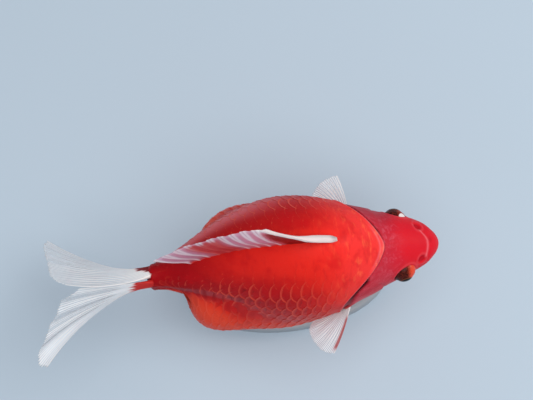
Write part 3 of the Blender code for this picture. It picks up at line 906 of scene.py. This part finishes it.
def scale_places(sizes, lay, rng):
    """The middle of every scale: its place along the coat and its share of the way round."""
    columns = scale_columns(sizes.scale_step)
    found = []
    most = int(sizes.scale_rows / 2)
    for side, _ in SIDES:
        for row in range(-most, most + 1):
            offset = 0.5 * (row % 2)
            count = len(columns) - 1
            at = np.interp(np.arange(count) + offset, np.arange(len(columns)), columns)
            rows = row_count(at, sizes.scale_rows)
            share = 0.5 + row / rows
            midline = (np.abs(share) < 1e-6) | (np.abs(share - 1) < 1e-6)
            spare = 0.35 / rows
            inside = (share > -spare) & (share < 1 + spare) & ~(midline & (side == RIGHT))
            along, angle = body_place(lay, at, side * share)
            inside &= (along > seam(angle) + BEHIND_SEAM) & (along < COAT_END)
            found.append(np.stack([at, side * share], axis=1)[inside])
    found = np.concatenate(found)
    found[:, 0] += rng.uniform(-SCALE_STRAY, SCALE_STRAY, len(found))
    return found


def make_scales(sizes, tints):
    """All the scales as two joined coats, front and rear, lying along the body and overlapping."""
    rng = np.random.default_rng(SEED)
    arcs = arc_table()
    lay = arcs, spread_table(arcs)
    middles = scale_places(sizes, lay, rng)
    corners, faces = scale_shape()
    material = scale_material(tints)
    columns = scale_columns(sizes.scale_step)
    steps = np.interp(middles[:, 0], columns[:-1], np.diff(columns))
    tones = rng.uniform(-1, 1, len(middles))
    lift = sizes.scale_lift * rng.uniform(0.85, 1.15, len(middles)) * (0.55 + 0.45 * steps / steps.max())
    flat_back = (1 - ramp(np.abs(middles[:, 1]), 0.10, 0.32)) + (1 - ramp(middles[:, 0], 0.26, 0.44))
    lift = lift * (1 - 0.80 * np.minimum(flat_back, 1.0))
    width = SCALE_WIDE / row_count(middles[:, 0], sizes.scale_rows)

    back, side_on, top = corners[:, 0], corners[:, 1], corners[:, 2]
    spread = middles[:, :1] + back[None] * steps[:, None] * SCALE_LONG
    share = middles[:, 1:2] + side_on[None] * width[:, None]
    at, angle = body_place(lay, spread, share)
    at = np.maximum(at, seam(angle) + CLEAR_OF_SEAM)  # no scale reaches into the gill slit
    place = trunk_point(at, angle)
    step = 1e-3  # for the slope of the surface
    ahead = trunk_point(at + step, angle) - trunk_point(at - step, angle)
    beside = trunk_point(at, angle + step) - trunk_point(at, angle - step)
    out_of = unit(np.cross(beside, ahead))
    out_of *= np.sign(np.sum(out_of * (place - spine(at)), axis=-1, keepdims=True))
    height = (lift[:, None] + ROOT_SUNK) * (back[None] + 1) / 2 - ROOT_SUNK
    height = height - SCALE_THICK * (1 - top) - sizes.coat_depth
    points = place + out_of * height[..., None]

    # none lies where it would be folded, as in the crease behind the belly
    whole = np.min(np.sum(out_of * unit(out_of.mean(axis=1, keepdims=True)), axis=-1), axis=1) > LEAST_FLAT
    for word, chosen in (("front", middles[:, 0] < 0.5), ("rear", middles[:, 0] >= 0.5)):
        chosen = chosen & whole
        mesh = join_plates("scales_" + word, points[chosen], faces)
        count = int(chosen.sum())
        off_top, around = turn_shares(angle[chosen].ravel())
        store(
            mesh,
            along=((at + at.mean(axis=1, keepdims=True)) / 2)[chosen].ravel(),
            around=around,
            off_top=off_top,
            tone=np.repeat(tones[chosen], len(corners)),
        )
        face = np.tile(np.stack([back, side_on], axis=1) * 0.5 + 0.5, (count, 1))
        map_uv(mesh, "scale_face", face)

        # each scale is a small patch of the bake map, at its own place on an unwrap of the body
        root = np.stack([middles[chosen, 0] / SPREAD_END, middles[chosen, 1] / 2 + 0.5], axis=1)
        root = np.repeat(root * 0.98 + 0.01, len(corners), axis=0)
        map_uv(mesh, "OFBake", root + (face - 0.5) * BAKE_PATCH)
        finished("scales_" + word, mesh, material, "red_skin")


def join_plates(name, points, faces):
    """One mesh of many plates, each with the same faces."""
    many, each = points.shape[:2]
    joined = [[corner + i * each for corner in face] for i in range(many) for face in faces]
    mesh = bpy.data.meshes.new(name)
    mesh.from_pydata(points.reshape(-1, 3).tolist(), [], joined)
    face_outwards(mesh)
    mesh.shade_smooth()
    mesh.set_sharp_from_angle(angle=math.radians(60))
    return mesh


# ---- The eyes -----------------------------------------------------------------------------------
def eye_material(tints, side, word):
    # A living eye under a clear wet cornea: a deep pupil, a thin copper ring and a dark mottled iris that
    # is redder at its front, and on the left a painted highlight, a white glint at its upper front.
    material, tree = new_material("wet_eye_" + word)
    where = coordinates(tree)
    away, _ = vector_sum(tree, "SUBTRACT", where, tuple(eye_centre(side)))
    away, _ = vector_sum(tree, "NORMALIZE", away)
    _, facing = vector_sum(tree, "DOT_PRODUCT", away, tuple(eye_axis(side)))
    fibre = noise(tree, where, 0.0007, 3.0, 0.6, 0.8)
    front = (fibre * 0.30 + parts(tree, away)[0]).between(0.30, 0.80)
    tint = fibre.between(0.35, 0.65).mix("2a0d0a", tints.iris)
    tint = (front * (0.4 if side == LEFT else 1.0)).mix(tint, "d8452c")
    tint = (facing.between(0.86, 0.88) * facing.between(0.915, 0.90)).mix(tint, "6e3a20")
    tint = facing.between(0.90, 0.92).mix(tint, "080404")
    # painted highlight: a white glint on the left eye
    if side == LEFT:
        _, spot = vector_sum(tree, "DOT_PRODUCT", away, tuple(unit(np.array(PAINTED_GLINT_AT))))
        tint = (fibre * 0.03 + spot).between(0.925, 0.95).mix(tint, "e3d8d6")
    shader = {
        "Base Color": tint,
        "Roughness": fibre.between(0.3, 0.7, 0.20, 0.28),
        "Coat Weight": 0.06,
        "Coat Roughness": 0.08,
        "IOR": 1.16,
    }
    finish_material(tree, shader, fibre, 0.00003)
    return material


def make_eye(side, word, tints):
    """An eyeball with a cornea that bulges over the pupil."""
    bm = bmesh.new()
    bmesh.ops.create_uvsphere(bm, u_segments=64, v_segments=48, radius=1.0)
    mesh = mesh_of("eyeball_" + word, bm)
    ball = positions(mesh)
    axis = eye_axis(side)
    turn = Vector((0, 0, 1)).rotation_difference(Vector(axis)).to_matrix()
    away = ball @ np.array(turn).T
    facing = away @ axis
    radius = EYE_RADIUS * (1 - 0.022 * ridge(facing, 0.76, 0.09)) + 0.00012 * ramp(facing, 0.84, 0.99)
    move_to(mesh, eye_centre(side) + away * radius[:, None])
    finished("eyeball_" + word, mesh, eye_material(tints, side, word), "dark_eye", "eye_" + word)


# ---- The fins -----------------------------------------------------------------------------------
def mix(low, high, share):
    return low + (high - low) * share


def heading(turn, rise):
    """The direction back along the fish, turned to its left and raised, in degrees."""
    turn, rise = np.radians(turn), np.radians(rise)
    return np.stack([-np.cos(turn) * np.cos(rise), np.sin(turn) * np.cos(rise), np.sin(rise)], axis=-1)


def fan(root, turns, rises, length, bend, start=0.0):
    """The middle surface of a fin: root(u) is where ray u starts, turns and rises are the headings of the
    first and last ray, and bend(u) is how far a ray turns and rises by its tip, from a share of its length,
    start, on."""
    steps = 6

    def surface(u, v):
        point = root(u)
        more_turn, more_rise = bend(u)
        for k in range(steps):
            part = np.maximum((k + 0.5) / steps * v - start, 0.0) / (1 - start)
            turn = mix(turns[0], turns[1], u) + more_turn * part
            rise = mix(rises[0], rises[1], u) + more_rise * part
            point = point + heading(turn, rise) * (length(u) * v / steps)[..., None]
        return point

    return surface


def corner(share):
    """How much of a fin's corner is rounded off: 1 at its edge ray and 0 from share 1 on."""
    return (1 - np.clip(share, 0.0, 1.0)) ** 2


def down(amount):
    return np.array((0.0, 0.0, -amount))


def back_fin():
    def root(u):
        at = mix(0.346, 0.835, u)
        return body_point(at, 0.012 * (1 - u) ** 2, 1.0) + down(0.0015)

    def length(u):
        return (0.038 - 0.035 * u + 0.012 * u * u) * (1 - 0.06 * corner(u * 5))

    return fan(root, (-2, 1), (44, 22), length, lambda u: (24 - 12 * u * u, -16 + 8 * u), start=0.35)


def breast_fin(side):
    reach, back = (0.0188, -0.018) if side == LEFT else (0.0218, 0.022)
    lead, trail = (94, 16) if side == LEFT else (74, 22)

    def root(u):
        at = mix(0.304, 0.330, u) + back
        along = body_point(at, side * np.radians(mix(110, 124, u)))
        return along - heading(side * mix(lead, trail, u), -12 + 0 * u) * 0.002

    def length(u):
        return 0.002 + reach * (1 - 0.30 * u) * (1 - 0.10 * corner(u * 3)) * (1 - 0.2 * corner((1 - u) * 3))

    return fan(root, (side * lead, side * trail), (-10, -14), length, lambda u: (-side * 18, -10))


def belly_fin(side):
    def root(u):
        return body_point(mix(0.455, 0.505, u), side * np.radians(mix(158, 164, u))) - down(0.0015)

    def length(u):
        return 0.0215 * (1 - 0.30 * u)

    return fan(root, (side * 26, side * 6), (-30, -22), length, lambda u: (-side * 6, 16))


def vent_fin(side):
    def root(u):
        return body_point(mix(0.900, 0.950, u), side * np.radians(mix(166, 162, u))) - down(0.0012)

    def length(u):
        return 0.0140 * (1 - 0.35 * u)

    return fan(root, (6 + side * 3, 4 + side * 3), (-58, -30), length, lambda u: (side * 3, 14))


# Each half of the double tail: the headings of its top and bottom rays, how far each turns and rises by
# its tip, the lengths of its top, middle and bottom rays, the depth of its pleats, how far its lower corner
# is cut back, and how far its root curves to the left.
TAIL = {
    LEFT: {
        "turns": (-20, 16),
        "rises": (28, -30),
        "bends": ((34, -8), (24, 6)),
        "lengths": (0.040, 0.041, 0.056),
        "pleat": 0.0,
        "blunt": 0.02,
        "bulge": 0.0026,
    },
    RIGHT: {
        "turns": (0, -11),
        "rises": (17, -14),
        "bends": ((0, -4), (-38, 2)),
        "lengths": (0.033, 0.042, 0.062),
        "pleat": 0.0010,
        "blunt": 0.12,
        "bulge": -0.0014,
    },
}


def tail_half(side):
    half = TAIL[side]
    top = spine(0.975) + np.array((0, side * 0.0012 - 0.0016, 0.0068))
    low = spine(0.985) + np.array((0, side * 0.0014 + 0.0008, -0.0052))
    first, middle, last = half["lengths"]

    def root(u):
        across = np.array((0, half["bulge"], 0)) * np.sin(math.pi * u)[..., None]
        return top + (low - top) * u[..., None] + across

    def length(u):
        curve = 2 * (first + last) - 4 * middle
        straight = first + (4 * middle - 3 * first - last) * u + curve * u * u
        return straight * (1 - 0.16 * corner(u / 0.22)) * (1 - half["blunt"] * corner((1 - u) / 0.20))

    def bend(u):
        return tuple(mix(a, b, u) for a, b in zip(*half["bends"]))

    smooth = fan(root, half["turns"], half["rises"], length, bend)

    def surface(u, v):
        pleat = half["pleat"] * np.sin(u * 7 * math.pi) * np.maximum(v - 0.15, 0) * (1 - 0.5 * u)
        return smooth(u, v) + np.stack([0 * pleat, side * pleat, pleat], axis=-1)

    return surface


def ray_share(u, v, facts):
    """1 on a ray and 0 in the web between. Each ray parts in two on its way out."""
    off = np.abs(u * facts["rays"] - np.round(u * facts["rays"]))
    off = np.abs(off - facts["part"] * ramp(v, facts["parts_at"], 1.0))
    return ridge(off, 0.0, mix(facts["wide"][0], facts["wide"][1], v))


def leaned(u, v):
    """Where across the back fin a ray starts that comes by here: its rays lean forward."""
    return u + 0.35 * (1 - u) * v


def fin_grid(across, along):
    """A flat plate of two sides: its places across and along, and which side each corner is on."""
    bm = bmesh.new()
    bmesh.ops.create_grid(bm, x_segments=across, y_segments=along, size=0.5)
    far_side = bmesh.ops.extrude_face_region(bm, geom=bm.faces[:])["geom"]
    moved = [item for item in far_side if isinstance(item, bmesh.types.BMVert)]
    bmesh.ops.translate(bm, verts=moved, vec=(0, 0, 1))
    return bm


# Where the right half of the tail is clear between its pleats, and how wide that is, across its rays.
TAIL_PLEATS = ((0.70, 0.020), (0.56, 0.026), (0.38, 0.034), (0.18, 0.040))

# How each fin is made: its rays, how far apart each parts in two and from where on, how wide the rays are
# at root and tip as shares of their spacing, its corners across and along, the thickness of its root, how
# clear its web is at root and tip, and how deep its margin is frayed.
FIN_FACTS = ("rays", "part", "parts_at", "wide", "grid", "root", "clear", "frayed")
FINS = {
    kind: dict(zip(FIN_FACTS, facts))
    for kind, *facts in (
        ("dorsal_fin", 15, 0.16, 0.50, (0.15, 0.16), (240, 56), 0.0022, (0.55, 0.55), 0.008),
        ("pectoral_fin", 15, 0.25, 0.30, (0.22, 0.12), (150, 44), 0.0018, (0.42, 0.68), 0.020),
        ("pelvic_fin", 9, 0.25, 0.30, (0.20, 0.10), (96, 40), 0.0018, (0.35, 0.62), 0.020),
        ("anal_fin", 8, 0.25, 0.30, (0.20, 0.10), (84, 34), 0.0014, (0.35, 0.62), 0.020),
        ("tail_fin", 20, 0.25, 0.20, (0.26, 0.13), (240, 84), 0.0018, (0.05, 0.45), 0.020),
    )
}


def dorsal_look(u, v, side):
    """Red, deep and clear shares of the back fin: a white spine in front, a clear web behind it tinted dark
    red as painted shade of the body below, white rays in rosy webs, a red part with white tips, and a white
    end."""
    w = leaned(u, v)
    ray = ray_share(w, v, FINS["dorsal_fin"])
    jag = 0.05 * ray + 0.02 * np.sin(w * 70)
    behind = ramp(u, 0.045, 0.056)
    # painted shade: the web behind the spine tinted dark red
    dark = behind * (1 - ramp(w, 0.35, 0.41)) * (1 - ramp(v, 0.84, 0.94))
    middle = ramp(w, 0.59, 0.66) * (1 - ramp(w, 0.79, 0.86)) * (1 - ramp(v + jag, 0.91, 1.03))
    base = (1 - ramp(v + jag, 0.05, 0.15 + 0.06 * ramp(w, 0.8, 0.9))) * behind
    red = np.maximum(np.maximum(0.92 * middle, base), dark) * behind
    clear = 0.10 * dark - 0.20 * middle - 0.6 * (1 - behind)
    return red, 0.80 * dark + 0.15 * middle, clear


def pectoral_look(u, v, side):
    """A red fleshy root, and on the right a rust-red leading edge with a white start."""
    lead = (1 - ramp(u, 0.05, 0.10)) * ramp(v, 0.24, 0.34) * (1 - ramp(v, 0.86, 0.97))
    lead = lead * (0.85 if side == RIGHT else 0.0)
    return np.maximum(lead, 1 - ramp(v, 0.06, 0.13)), 0.6 * lead + 0.5 * (1 - ramp(v, 0.04, 0.11)), 0 * u


def tail_look(u, v, side):
    """On the left a dense white half with one red patch at its outer edge. On the right a red root, a
    strong white outer edge and see-through pleats inside. Both are clearer in strips towards the tip."""
    jag = 0.020 * np.sin(u * 41) + 0.014 * np.sin(u * 97 + 1)
    if side == LEFT:
        reach = 0.02 + 0.13 * ramp(u, 0.06, 0.42) + 0.05 * ramp(u, 0.5, 1.0) + 0.6 * jag
        red = (1 - ramp(v, reach - 0.02, reach + 0.02)) * ramp(u, 0.05, 0.10)
        red = np.maximum(red, 1 - ramp(v, 0.010, 0.045))
        strips = ridge(u, 0.66, 0.030) + ridge(u, 0.47, 0.022) + 0.7 * ridge(u, 0.84, 0.02)
        faint = 0.30 * strips * ramp(v, 0.45, 0.75) + 0.18 * ramp(v, 0.50, 0.95)
        return red, red, faint - 0.20 * (1 - ramp(v, 0.2, 0.6))
    reach = 0.25 - 0.09 * u + jag
    open_pleats = sum(ridge(u, place, width) for place, width in TAIL_PLEATS) * ramp(v, 0.25, 0.50)
    inner = (1 - ramp(u, 0.25, 0.66)) * ramp(v, 0.30, 0.60)
    strong = ramp(u, 0.66, 0.76) * (1 - 0.4 * ramp(v, 0.8, 1.0)) + 0.6 * (1 - ramp(v, 0.35, 0.55))
    faint = 0.60 * open_pleats + 0.32 * inner - 0.50 * strong
    return 1 - ramp(v, reach - 0.03, reach + 0.03), 0.35 * (1 - v) + 0 * u, faint


def low_look(u, v, side):
    return 1 - ramp(v, 0.10, 0.30), 0 * u, 0 * u


def fin_material(tints, kind):
    # Living fin: opaque milk-white bony rays in a clear wet web, with red skin running out from the root.
    material, tree = new_material("wet_" + kind)
    where, facts = coordinates(tree), FINS[kind]
    u, v, _ = parts(tree, mapped(tree, "ray_place"))
    red, clear, deep, edge = kept(tree, "red_share", "clear_share", "deep_share", "edge_share")
    rosy, lilac, cream = kept(tree, "rosy_share", "lilac_share", "cream_share")
    off = (u * float(facts["rays"])).reckon("PINGPONG", 0.5)
    off = (off - v.between(facts["parts_at"], 1.0, 0.0, facts["part"])).reckon("ABSOLUTE")
    wide = v.between(0.0, 1.0, *(1.5 * share for share in facts["wide"]))
    ray = (off.reckon("DIVIDE", wide) * -1.0).reckon("ADD", 1.0, clamp=True)
    ray = ray.between(0.0, 0.8).reckon("MAXIMUM", edge)

    cloud = noise(tree, where, 0.004, 3.0, 0.6)
    milk = ray.mix(tints.web, tints.fin_white)
    milk = v.between(0.45, 0.05, 0.0, 0.5).mix(milk, "fbf2ea")
    milk = cloud.between(0.5, 0.75, 0.0, 0.25).mix(milk, "e6d3da")
    milk = (rosy * 0.88).mix(milk, "e08cae")
    milk = cream.mix(lilac.mix(milk, "e6b6cc"), "d8c4c2")
    blood = deep.mix(cloud.mix("d01820", "e63a2c"), "7c0c12")

    # joints of the bony rays, drawn about 1 mm apart so that they show
    joints = (v * 240.0).reckon("SINE")
    web_alpha = (clear * -1.0).reckon("ADD", 1.0, clamp=True).reckon("MAXIMUM", red * 0.85)
    ray_alpha = clear * clear * -0.75 + 1.0
    lift = (ray * (ray_alpha - web_alpha)).reckon("MAXIMUM", 0.0)
    shader = {
        "Base Color": red.mix(milk, blood),
        "Roughness": cloud.between(0.3, 0.7, 0.36, 0.48),
        "Subsurface Weight": 0.35,
        "Subsurface Radius": (1.0, 0.9, 0.9),
        "Subsurface Scale": 0.0008,
        "Coat Weight": 0.05,
        "Coat Roughness": 0.2,
        "IOR": 1.36,
        "Specular IOR Level": 0.2,
        "Alpha": web_alpha.reckon("ADD", lift, clamp=True),
    }
    finish_material(tree, shader, joints * ray * 0.12 + ray, 0.000015)
    return material


def make_fin(name, kind, surface, look, side, sizes, material):
    """A rayed fin about its middle surface, thin between the rays and at its frayed margin."""
    facts, is_back = FINS[kind], float(kind == "dorsal_fin")
    mesh = mesh_of(name + "_web", fin_grid(*facts["grid"]))
    flat = positions(mesh)
    u, v = flat[:, 0] + 0.5, flat[:, 1] + 0.5
    face = np.where(flat[:, 2] > 0.5, 0.5, -0.5)
    across = leaned(u, v) if is_back else u
    ray = ray_share(across, v, facts)
    edge = np.maximum(1 - ramp(u, 0.0, 0.035), 1 - ramp(1 - u, 0.0, 0.035))
    ray = np.maximum(ray, edge)
    notch = facts["frayed"] * (1 - ray) + 0.006 * np.sin(u * 61) + 0.004 * np.sin(u * 143 + 2)
    reach = v * (1 - np.maximum(notch, 0) * v**10)
    step = 0.004
    along_u = surface(u + step, reach) - surface(u - step, reach)
    along_v = surface(u, reach + step) - surface(u, reach - step)
    out_of = unit(np.cross(along_u, along_v))
    fleshy = (facts["root"] - sizes.ray_thick) * np.maximum(1 - v / 0.3, 0) ** 2
    if is_back:
        first = 1 - ramp(u, 0.035, 0.06)
        stout = 0.0003 + 0.0019 * (1 - ramp(v, 0.37, 0.72))
        fleshy = mix(fleshy, stout * mix(0.15, 1.0, ramp(v, 0.04, 0.20)), first)
    thick = mix(sizes.web_thick, sizes.ray_thick * mix(1.0, 0.55, v), ray) + fleshy
    ripple = 0.00016 * np.sin(u * 23 + 3 * v + side) * v
    move_to(mesh, surface(u, reach) + out_of * (face * thick + ripple)[:, None])
    red, deep, faint = look(u, v, side)
    clear = mix(*facts["clear"], v) + faint
    store(
        mesh,
        red_share=red,
        edge_share=np.maximum(edge, 0.6 * is_back * ramp(v, 0.90, 0.97)),
        rosy_share=is_back * ramp(u, 0.05, 0.09) * (1 - ray),
        lilac_share=is_back * ramp(u, 0.06, 0.10) * 0.4,
        cream_share=is_back * (1 - ramp(u, 0.04, 0.06)) * 0.8,
        deep_share=np.clip(deep, 0, 1),
        clear_share=np.clip(clear, 0, 0.93),
    )
    map_uv(mesh, "ray_place", np.stack([across, v], axis=1))
    face_outwards(mesh)
    finished(name + "_web", mesh, material, "white_fin", name)


# ---- The stand and the studio -------------------------------------------------------------------
def painted_material(tints):
    # Powder-coated steel: an even satin grey with the faint orange-peel texture of baked paint.
    material, tree = new_material("powder_coated_steel")
    where = coordinates(tree)
    peel = noise(tree, where, 0.0011, 2.0, 0.5)
    cloud = noise(tree, where, 0.02, 2.0, 0.5)
    tint = cloud.mix(tints.stand, [0.9 * part for part in tints.stand])
    rough = peel.between(0.3, 0.7, 0.42, 0.5)
    finish_material(tree, {"Base Color": tint, "Roughness": rough}, peel, 0.00004)
    return material


def steel_material():
    # Brushed stainless steel: fine rings left by the belt, drawn 0.25 mm apart so that they show.
    material, tree = new_material("brushed_stainless_steel")
    lines = noise(tree, stretched(tree, coordinates(tree), (150.0, 150.0, 4000.0)), 1.0)
    rough = lines.between(0.3, 0.7, 0.26, 0.38)
    shader = {"Base Color": lines.mix("b9bcbf", "d4d6d8"), "Metallic": 1.0, "Roughness": rough}
    finish_material(tree, shader, lines, 0.00001)
    return material


def floor_material(tints):
    # A matt studio sweep: one pale cool grey with the faintest clouding.
    material, tree = new_material("matt_paper_sweep")
    cloud = noise(tree, coordinates(tree), 0.25, 2.0, 0.5)
    tint = cloud.mix(tints.floor, [min(1.0, 1.05 * part) for part in tints.floor])
    finish_material(tree, {"Base Color": tint, "Roughness": 0.85})
    return material


# The place of each light, its width, its power in watts and its tint, and the point they are aimed at.
LIGHTS = {
    "key_light": ((0.08, -0.15, 0.99), 0.9, 6.2, (1.0, 0.99, 0.97)),
    "front_light": ((0.85, 0.10, 0.45), 0.4, 2.4, (1.0, 0.98, 0.95)),
}
LIT_POINT = (0.0, 0.0, 0.06)
SKY_TINT, SKY_STRENGTH = (0.90, 0.94, 1.0, 1.0), 0.50
FLOOR_SIZE = 6.0


def aimed(obj, place, back):
    """Puts a light or camera at a place, looking along the opposite of back."""
    obj.location = place
    obj.rotation_euler = (-back).to_track_quat("-Z", "Y").to_euler()


def make_lights():
    for name, (place, size, power, tint) in LIGHTS.items():
        light = bpy.data.lights.new(name, "AREA")
        light.shape, light.size, light.energy, light.color = "DISK", size, power, tint
        aimed(placed(name, light), place, Vector(place) - Vector(LIT_POINT))
    world = bpy.data.worlds.new("studio")
    bpy.context.scene.world = world
    world.use_nodes = True
    background = world.node_tree.nodes["Background"]
    background.inputs["Color"].default_value = SKY_TINT
    background.inputs["Strength"].default_value = SKY_STRENGTH
    bpy.context.scene.view_settings.view_transform = "Standard"


def make_floor(tints):
    bm = bmesh.new()
    bmesh.ops.create_grid(bm, x_segments=8, y_segments=8, size=FLOOR_SIZE)
    mesh = mesh_of("floor", bm)
    mesh.materials.append(floor_material(tints))
    placed("floor", mesh)


CAMERA_TURN, CAMERA_RISE, CAMERA_AWAY = -7.5, 78.0, 0.45
CAMERA_AIM = (-0.00674, 0.02246, 0.07655)
CAMERA_LENS = 80.6


def make_camera():
    turn, rise = math.radians(CAMERA_TURN), math.radians(CAMERA_RISE)
    back = Vector(
        (math.sin(turn) * math.cos(rise), -math.cos(turn) * math.cos(rise), math.sin(rise))
    ).normalized()
    data = bpy.data.cameras.new("camera")
    data.lens, data.sensor_width = CAMERA_LENS, 36.0
    data.clip_start, data.clip_end = 0.01, 20.0
    camera = placed("camera", data)
    aimed(camera, Vector(CAMERA_AIM) + back * CAMERA_AWAY, back)
    bpy.context.scene.camera = camera


# ---- Operators, panel and running ---------------------------------------------------------------
class GOLDFISH_OT_skin(bpy.types.Operator):
    """Makes the one skin over head, trunk and tail stalk"""

    bl_idname = "goldfish.skin"
    bl_label = "Skin"

    def execute(self, context):
        make_skin(context.scene.goldfish_sizes, context.scene.goldfish_colours)
        return {"FINISHED"}


class GOLDFISH_OT_scales(bpy.types.Operator):
    """Lays the overlapping scales over the skin"""

    bl_idname = "goldfish.scales"
    bl_label = "Scales"

    def execute(self, context):
        make_scales(context.scene.goldfish_sizes, context.scene.goldfish_colours)
        return {"FINISHED"}


class GOLDFISH_OT_eyes(bpy.types.Operator):
    """Makes the two eyeballs"""

    bl_idname = "goldfish.eyes"
    bl_label = "Eyes"

    def execute(self, context):
        for side, word in SIDES:
            make_eye(side, word, context.scene.goldfish_colours)
        return {"FINISHED"}


PAIRED_FINS = (
    ("pectoral_fin", breast_fin, pectoral_look),
    ("pelvic_fin", belly_fin, low_look),
    ("anal_fin", vent_fin, low_look),
    ("tail_fin", tail_half, tail_look),
)


class GOLDFISH_OT_fins(bpy.types.Operator):
    """Makes the rayed fins and the double tail"""

    bl_idname = "goldfish.fins"
    bl_label = "Fins"

    def execute(self, context):
        sizes, tints = context.scene.goldfish_sizes, context.scene.goldfish_colours
        materials = {kind: fin_material(tints, kind) for kind in FINS}
        pieces = [("dorsal_fin", "dorsal_fin", back_fin(), dorsal_look, LEFT)]
        for side, word in SIDES:
            for kind, surface, look in PAIRED_FINS:
                pieces.append((kind + "_" + word, kind, surface(side), look, side))
        for name, kind, *form in pieces:
            make_fin(name, kind, *form, sizes, materials[kind])
        return {"FINISHED"}


class GOLDFISH_OT_stand(bpy.types.Operator):
    """Gives the base and rods of the display stand their finishes"""

    bl_idname = "goldfish.stand"
    bl_label = "Stand"

    def execute(self, context):
        painted, steel = painted_material(context.scene.goldfish_colours), steel_material()
        finishes = {"stand_base": painted, "stand_rod_front": steel, "stand_rod_rear": steel}
        for name, material in finishes.items():
            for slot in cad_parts[name].material_slots:
                slot.material = material
        return {"FINISHED"}


class GOLDFISH_OT_studio(bpy.types.Operator):
    """Sets the floor, the lights and the camera"""

    bl_idname = "goldfish.studio"
    bl_label = "Studio"

    def execute(self, context):
        make_floor(context.scene.goldfish_colours)
        make_lights()
        make_camera()
        return {"FINISHED"}


STEPS = (
    GOLDFISH_OT_skin,
    GOLDFISH_OT_scales,
    GOLDFISH_OT_eyes,
    GOLDFISH_OT_fins,
    GOLDFISH_OT_stand,
    GOLDFISH_OT_studio,
)


class GOLDFISH_PT_panel(bpy.types.Panel):
    """Lists the pieces of the goldfish and their settings"""

    bl_idname = "GOLDFISH_PT_panel"
    bl_label = "Goldfish"
    bl_space_type = "VIEW_3D"
    bl_region_type = "UI"
    bl_category = "Goldfish"

    def draw(self, context):
        for step in STEPS:
            self.layout.operator(step.bl_idname)
        for group in (context.scene.goldfish_sizes, context.scene.goldfish_colours):
            for name in group.__annotations__:
                self.layout.prop(group, name)


CLASSES = (GoldfishSizes, GoldfishColours, *STEPS, GOLDFISH_PT_panel)


def register():
    for cls in CLASSES:
        bpy.utils.register_class(cls)
    bpy.types.Scene.goldfish_sizes = bpy.props.PointerProperty(type=GoldfishSizes)
    bpy.types.Scene.goldfish_colours = bpy.props.PointerProperty(type=GoldfishColours)


def unregister():
    del bpy.types.Scene.goldfish_colours
    del bpy.types.Scene.goldfish_sizes
    for cls in reversed(CLASSES):
        bpy.utils.unregister_class(cls)


def main():
    register()
    bpy.ops.goldfish.skin()
    bpy.ops.goldfish.scales()
    bpy.ops.goldfish.eyes()
    bpy.ops.goldfish.fins()
    bpy.ops.goldfish.stand()
    bpy.ops.goldfish.studio()
    bpy.context.view_layer.update()


if __name__ == "__main__":
    main()
